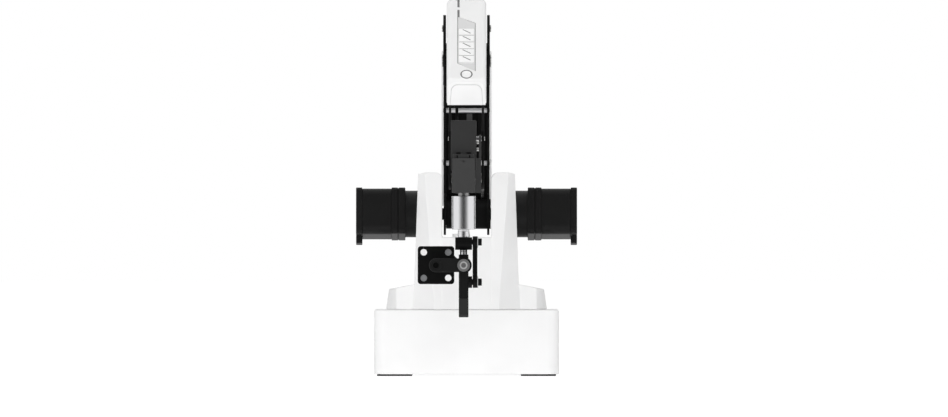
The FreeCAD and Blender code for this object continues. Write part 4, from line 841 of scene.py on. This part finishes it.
def makeJawParts():
    look = jawLook
    boss = makeDisc("frontBoss", 1, *look["boss"], look["bolt"])
    softenEdges(boss, look["bossEdge"])
    twin = mirrorY(boss, "rearBoss")
    evenShade(twin)
    settle(twin, "rear_jaw", slotOf["rear_jaw"], gripperBlack)
    settle(boss, "front_jaw", slotOf["front_jaw"], gripperBlack)
    ring = makeRing("frontRing", 1, look["ring"], look["bolt"])  # the bright collar on the front nut
    settle(ring, "front_jaw", slotOf["front_jaw_bolt"], washerZinc)
    # each bolt's end has a socket
    for side, sign in (("front", -1), ("rear", 1)):
        bolt = copyNode(side + "_jaw_bolt", side + "JawBolt")
        softenEdges(bolt, look["boltEdge"])
        reach = max(sign * vertex.co.y for vertex in bolt.data.vertices) - look["near"] * mm
        sinkFaces(bolt, lambda centre, way: sign * centre.y > reach, *look["socket"])
        evenShade(bolt)
        settle(bolt, side + "_jaw", slotOf[side + "_jaw_bolt"], boltZinc, side + "_jaw_bolt")
    # pale washers on the outer faces of the links
    first = makeRing("washer", 0, look["washer"], (0, 0, 0))
    for index, (depth, level) in enumerate(look["pivots"]):
        for side, spot in (("front", depth), ("rear", 2 * look["middle"] - depth)):
            washer = copyPiece(first, side + "Washer" + str(index))
            place(washer, (0, spot, level))
            settle(washer, side + "_link", slotOf["hub_bolts"], washerZinc)
    bpy.data.objects.remove(first)


makeJaws()
makeJawParts()

rodLook = {"middle": (-25.9, 0, 94.88), "nut": (5.6, -199.3, -198.4), "bore": 2.6, "ring": (1.1, 0.3),
           "over": 5.0, "edge": 0.15}  # mm
tabLook = {"block": ((-11.4, -162.86, 99.0), (-4.3, -160.46, 106.6)), "round": 6.9, "over": 5.0,
           "edge": 0.25}  # mm


def makeCylinderParts():
    # the rod's ring nut on the crosshead, and the plate's hollow corner towards the jaw
    radius, near, far = rodLook["nut"]
    over = rodLook["over"]
    nut = makeDisc("rodNut", 1, radius, near, far, rodLook["middle"])
    sinkFaces(nut, lambda centre, way: way.y < -0.9, *rodLook["ring"])
    carve(nut, makeDisc("boreCut", 1, rodLook["bore"], near - over, far + over, rodLook["middle"]))
    addTrim(nut, rodLook["edge"], "front_jaw", "crosshead", crossBlack)
    low, high = tabLook["block"]
    near, far = low[1] - tabLook["over"], high[1] + tabLook["over"]
    corner = makeBox("plateCorner", low, high)
    carve(corner, makeDisc("cornerCut", 1, tabLook["round"], near, far, high, 64))
    addTrim(corner, tabLook["edge"], "rear_jaw", "cylinder_plate", gripperBlack)


makeCylinderParts()

screwLook = {  # mm: small round heads on the outsides of the plates, at the ends of the spacers
    "radius": 1.7, "thick": 0.7, "socket": (0.7, 0.5), "edge": 0.2,
    "rear_arm": (19.6, ((-5.92, 227.17), (-1.17, 181.92))),
    "forearm": (15.0, ((-40.15, 251.35), (-88.94, 202.56))),
}


def makePlateScrews():
    look = screwLook
    first = makeDisc("plateScrew", 0, look["radius"], 0, look["thick"], (0, 0, 0), 24)
    sinkFaces(first, lambda centre, way: way.x > 0.9, *look["socket"])
    softenEdges(first, look["edge"])
    for body, node in (("rear_arm", "elbow_screws"), ("forearm", "wrist_axle")):
        face, spots = look[body]
        for index, spot in enumerate(spots):
            for side, across, turn in (("Right", face, 0), ("Left", -face, 180)):
                screw = copyPiece(first, body.split("_")[0] + side + "Screw" + str(index))
                place(screw, (across, *spot), (0, 0, turn))
                settle(screw, body, slotOf[node], brightSteel)
    bpy.data.objects.remove(first)


makePlateScrews()
print("wrist and gripper dressed")


# stage, light and camera

stageLook = {  # metres, then shares and strengths
    "floorSize": 40.0, "ownLight": 0.74, "glow": 1.25, "sheen": 0.05, "polish": 0.08,
}


def makeFloor():
    bpy.ops.object.select_all(action="DESELECT")
    bpy.ops.mesh.primitive_plane_add(size=stageLook["floorSize"])
    floor = nameNew("floor")
    material, tree, shader = newMaterial("White studio floor", Roughness=0.9, Base_Color=ink("f8f8f8"))
    rays = addNode(tree, "ShaderNodeLightPath")
    # a light of its own, only to the eye and in reflections, keeps the floor white
    glow = addNode(tree, "ShaderNodeEmission", {"Strength": stageLook["glow"]})
    seen = addNode(tree, "ShaderNodeMath", {"operation": "ADD"},
                   {0: rays.outputs["Is Camera Ray"], 1: rays.outputs["Is Glossy Ray"]})
    share = addNode(tree, "ShaderNodeMath", {"operation": "MULTIPLY"}, {0: seen.outputs[0]})
    share.inputs[1].default_value = stageLook["ownLight"]
    body = addNode(tree, "ShaderNodeMixShader", None,
                   {0: share.outputs[0], 1: shader.outputs[0], 2: glow.outputs[0]})
    mirror = addNode(tree, "ShaderNodeBsdfGlossy", {"Roughness": stageLook["polish"]})
    sheen = addNode(tree, "ShaderNodeMath", {"operation": "MULTIPLY"}, {0: rays.outputs["Is Camera Ray"]})
    sheen.inputs[1].default_value = stageLook["sheen"]
    both = addNode(tree, "ShaderNodeMixShader", None,
                   {0: sheen.outputs[0], 1: body.outputs[0], 2: mirror.outputs[0]})
    tree.links.new(both.outputs[0], tree.nodes["Material Output"].inputs["Surface"])
    floor.data.materials.append(material)


makeFloor()

# cards seen only in reflections: a graduated one behind the lens gives the sleeve its dark middle,
# and two dark ones behind the arm draw the edges of bright metal
cardLook = {  # metres, and tones from a card's middle to its edge
    "high": 1.2, "wide": 1.5, "away": 0.8,
    "tones": ((0.0, 0.05), (0.14, 0.09), (0.29, 0.2), (0.45, 0.4), (0.67, 0.7), (1.0, 1.12)),
    "sideWide": 0.6, "sideSpot": (1.02, 0.62), "toolDepth": 0.18,
    "sideTones": ((0.0, 0.12), (0.6, 0.12), (1.0, 1.0)),
}


def makeCard(name, wide, spot, turn, tones):
    bpy.ops.object.select_all(action="DESELECT")
    bpy.ops.mesh.primitive_plane_add(size=1)
    card = nameNew(name)
    card.scale = (wide, cardLook["high"], 1)
    bpy.ops.object.transform_apply(location=False, rotation=False, scale=True)
    material, tree = newMaterial("Graduated grey card")[:2]
    point = addNode(tree, "ShaderNodeTexCoord").outputs["Object"]
    across = addNode(tree, "ShaderNodeSeparateXYZ", None, {0: point})
    side = addNode(tree, "ShaderNodeMath", {"operation": "ABSOLUTE"}, {0: across.outputs["X"]})
    share = addNode(tree, "ShaderNodeMapRange", {"From Max": wide / 2}, {"Value": side.outputs[0]})
    ramp = addNode(tree, "ShaderNodeValToRGB", None, {0: share.outputs[0]})
    while len(ramp.color_ramp.elements) < len(tones):
        ramp.color_ramp.elements.new(0.5)
    for element, (position, tone) in zip(ramp.color_ramp.elements, tones):
        element.position = position
        element.color = (tone, tone, tone, 1)
    glow = addNode(tree, "ShaderNodeEmission", None, {"Color": ramp.outputs[0]})
    tree.links.new(glow.outputs[0], tree.nodes["Material Output"].inputs["Surface"])
    card.data.materials.append(material)
    card.location = (*spot, cardLook["high"] / 2)
    card.rotation_euler = (math.radians(90), 0, turn)
    card.visible_camera = False
    card.visible_diffuse = False
    card.visible_shadow = False


makeCard("frontCard", cardLook["wide"], (0, -cardLook["away"]), 0, cardLook["tones"])
across, back = cardLook["sideSpot"]
turn = math.atan2(across, back + cardLook["toolDepth"])  # the side cards face the tool
for name, sign in (("leftCard", -1), ("rightCard", 1)):
    makeCard(name, cardLook["sideWide"], (sign * across, back), -sign * turn, cardLook["sideTones"])

worldLook = {"front": 1.6, "back": 1.15, "top": 0.22, "topFrom": 0.8, "side": 0.6}  # strengths; topFrom a height


def makeWorld():
    world = bpy.data.worlds.new("studio")
    scene.world = world
    world.use_nodes = True
    tree = world.node_tree
    ground = tree.nodes["Background"]
    way = addNode(tree, "ShaderNodeTexCoord").outputs["Generated"]
    parts = addNode(tree, "ShaderNodeSeparateXYZ", None, {0: way})
    # brighter from the front than from the back, and dimmer overhead and from the sides
    facing = addNode(tree, "ShaderNodeMapRange", {"From Min": -1.0, "From Max": 1.0,
                                                  "To Min": worldLook["front"], "To Max": worldLook["back"]},
                     {"Value": parts.outputs["Y"]})
    lift = addNode(tree, "ShaderNodeMapRange", {"From Min": 0.0, "From Max": worldLook["topFrom"],
                                                "To Min": 1.0, "To Max": worldLook["top"]},
                   {"Value": parts.outputs["Z"]})
    soft = addNode(tree, "ShaderNodeMath", {"operation": "MULTIPLY"}, {0: facing.outputs[0], 1: lift.outputs[0]})
    flank = addNode(tree, "ShaderNodeMath", {"operation": "ABSOLUTE"}, {0: parts.outputs["X"]})
    aside = addNode(tree, "ShaderNodeMapRange", {"To Min": 1.0, "To Max": worldLook["side"]},
                    {"Value": flank.outputs[0]})
    even = addNode(tree, "ShaderNodeMath", {"operation": "MULTIPLY"}, {0: soft.outputs[0], 1: aside.outputs[0]})
    # plain white to the eye, in reflections and through what is clear
    rays = addNode(tree, "ShaderNodeLightPath")
    seen = addNode(tree, "ShaderNodeMath", {"operation": "MAXIMUM"},
                   {0: rays.outputs["Is Camera Ray"], 1: rays.outputs["Is Glossy Ray"]})
    clear = addNode(tree, "ShaderNodeMath", {"operation": "MAXIMUM"},
                    {0: seen.outputs[0], 1: rays.outputs["Is Transmission Ray"]})
    level = addNode(tree, "ShaderNodeMix", {"data_type": "FLOAT"}, {0: clear.outputs[0], 2: even.outputs[0]})
    level.inputs[3].default_value = 1.0
    tree.links.new(level.outputs[0], ground.inputs["Strength"])
    ground.inputs["Color"].default_value = (1, 1, 1, 1)


makeWorld()

lampLook = {"size": 2.0, "aim": (0, -0.05, 0.16),  # metres and watts: soft fills, the front one strongest
            "lamps": {"front": ((-0.5, -3.8, 1.7), 75.0), "left": ((-4.0, 1.2, 0.6), 22.0),
                      "right": ((4.0, 1.2, 0.6), 22.0), "back": ((0.3, 4.0, 0.6), 26.0)}}


def makeLamp(name, spot, power):
    bpy.ops.object.select_all(action="DESELECT")
    bpy.ops.object.light_add(type="AREA", location=spot)
    lamp = nameNew(name + "Lamp")
    lamp.data.size = lampLook["size"]
    lamp.data.energy = power
    lamp.data.use_shadow = False  # the studio's own light casts the shadows
    lamp.visible_glossy = False
    towards = Vector(lampLook["aim"]) - lamp.location
    lamp.rotation_euler = towards.to_track_quat("-Z", "Y").to_euler()


for name, (spot, power) in lampLook["lamps"].items():
    makeLamp(name, spot, power)

cameraLook = {"distance": 16.0, "reach": 60, "pixelsPerMetre": 1170.9, "sharpPlane": 0.07, "frameWide": 948,
              "middle": (0.0064, 0.143)}  # metres and pixels


def makeCamera():
    across, height = cameraLook["middle"]
    bpy.ops.object.select_all(action="DESELECT")
    bpy.ops.object.camera_add(location=(across, -cameraLook["distance"], height),
                              rotation=(math.radians(90), 0, 0))
    camera = nameNew("frontCamera")
    view = cameraLook["frameWide"] / cameraLook["pixelsPerMetre"]  # metres across at the object
    away = cameraLook["distance"] - cameraLook["sharpPlane"]
    camera.data.lens = camera.data.sensor_width * away / view
    camera.data.clip_end = cameraLook["reach"]
    scene.camera = camera


makeCamera()
print("stage and camera set")
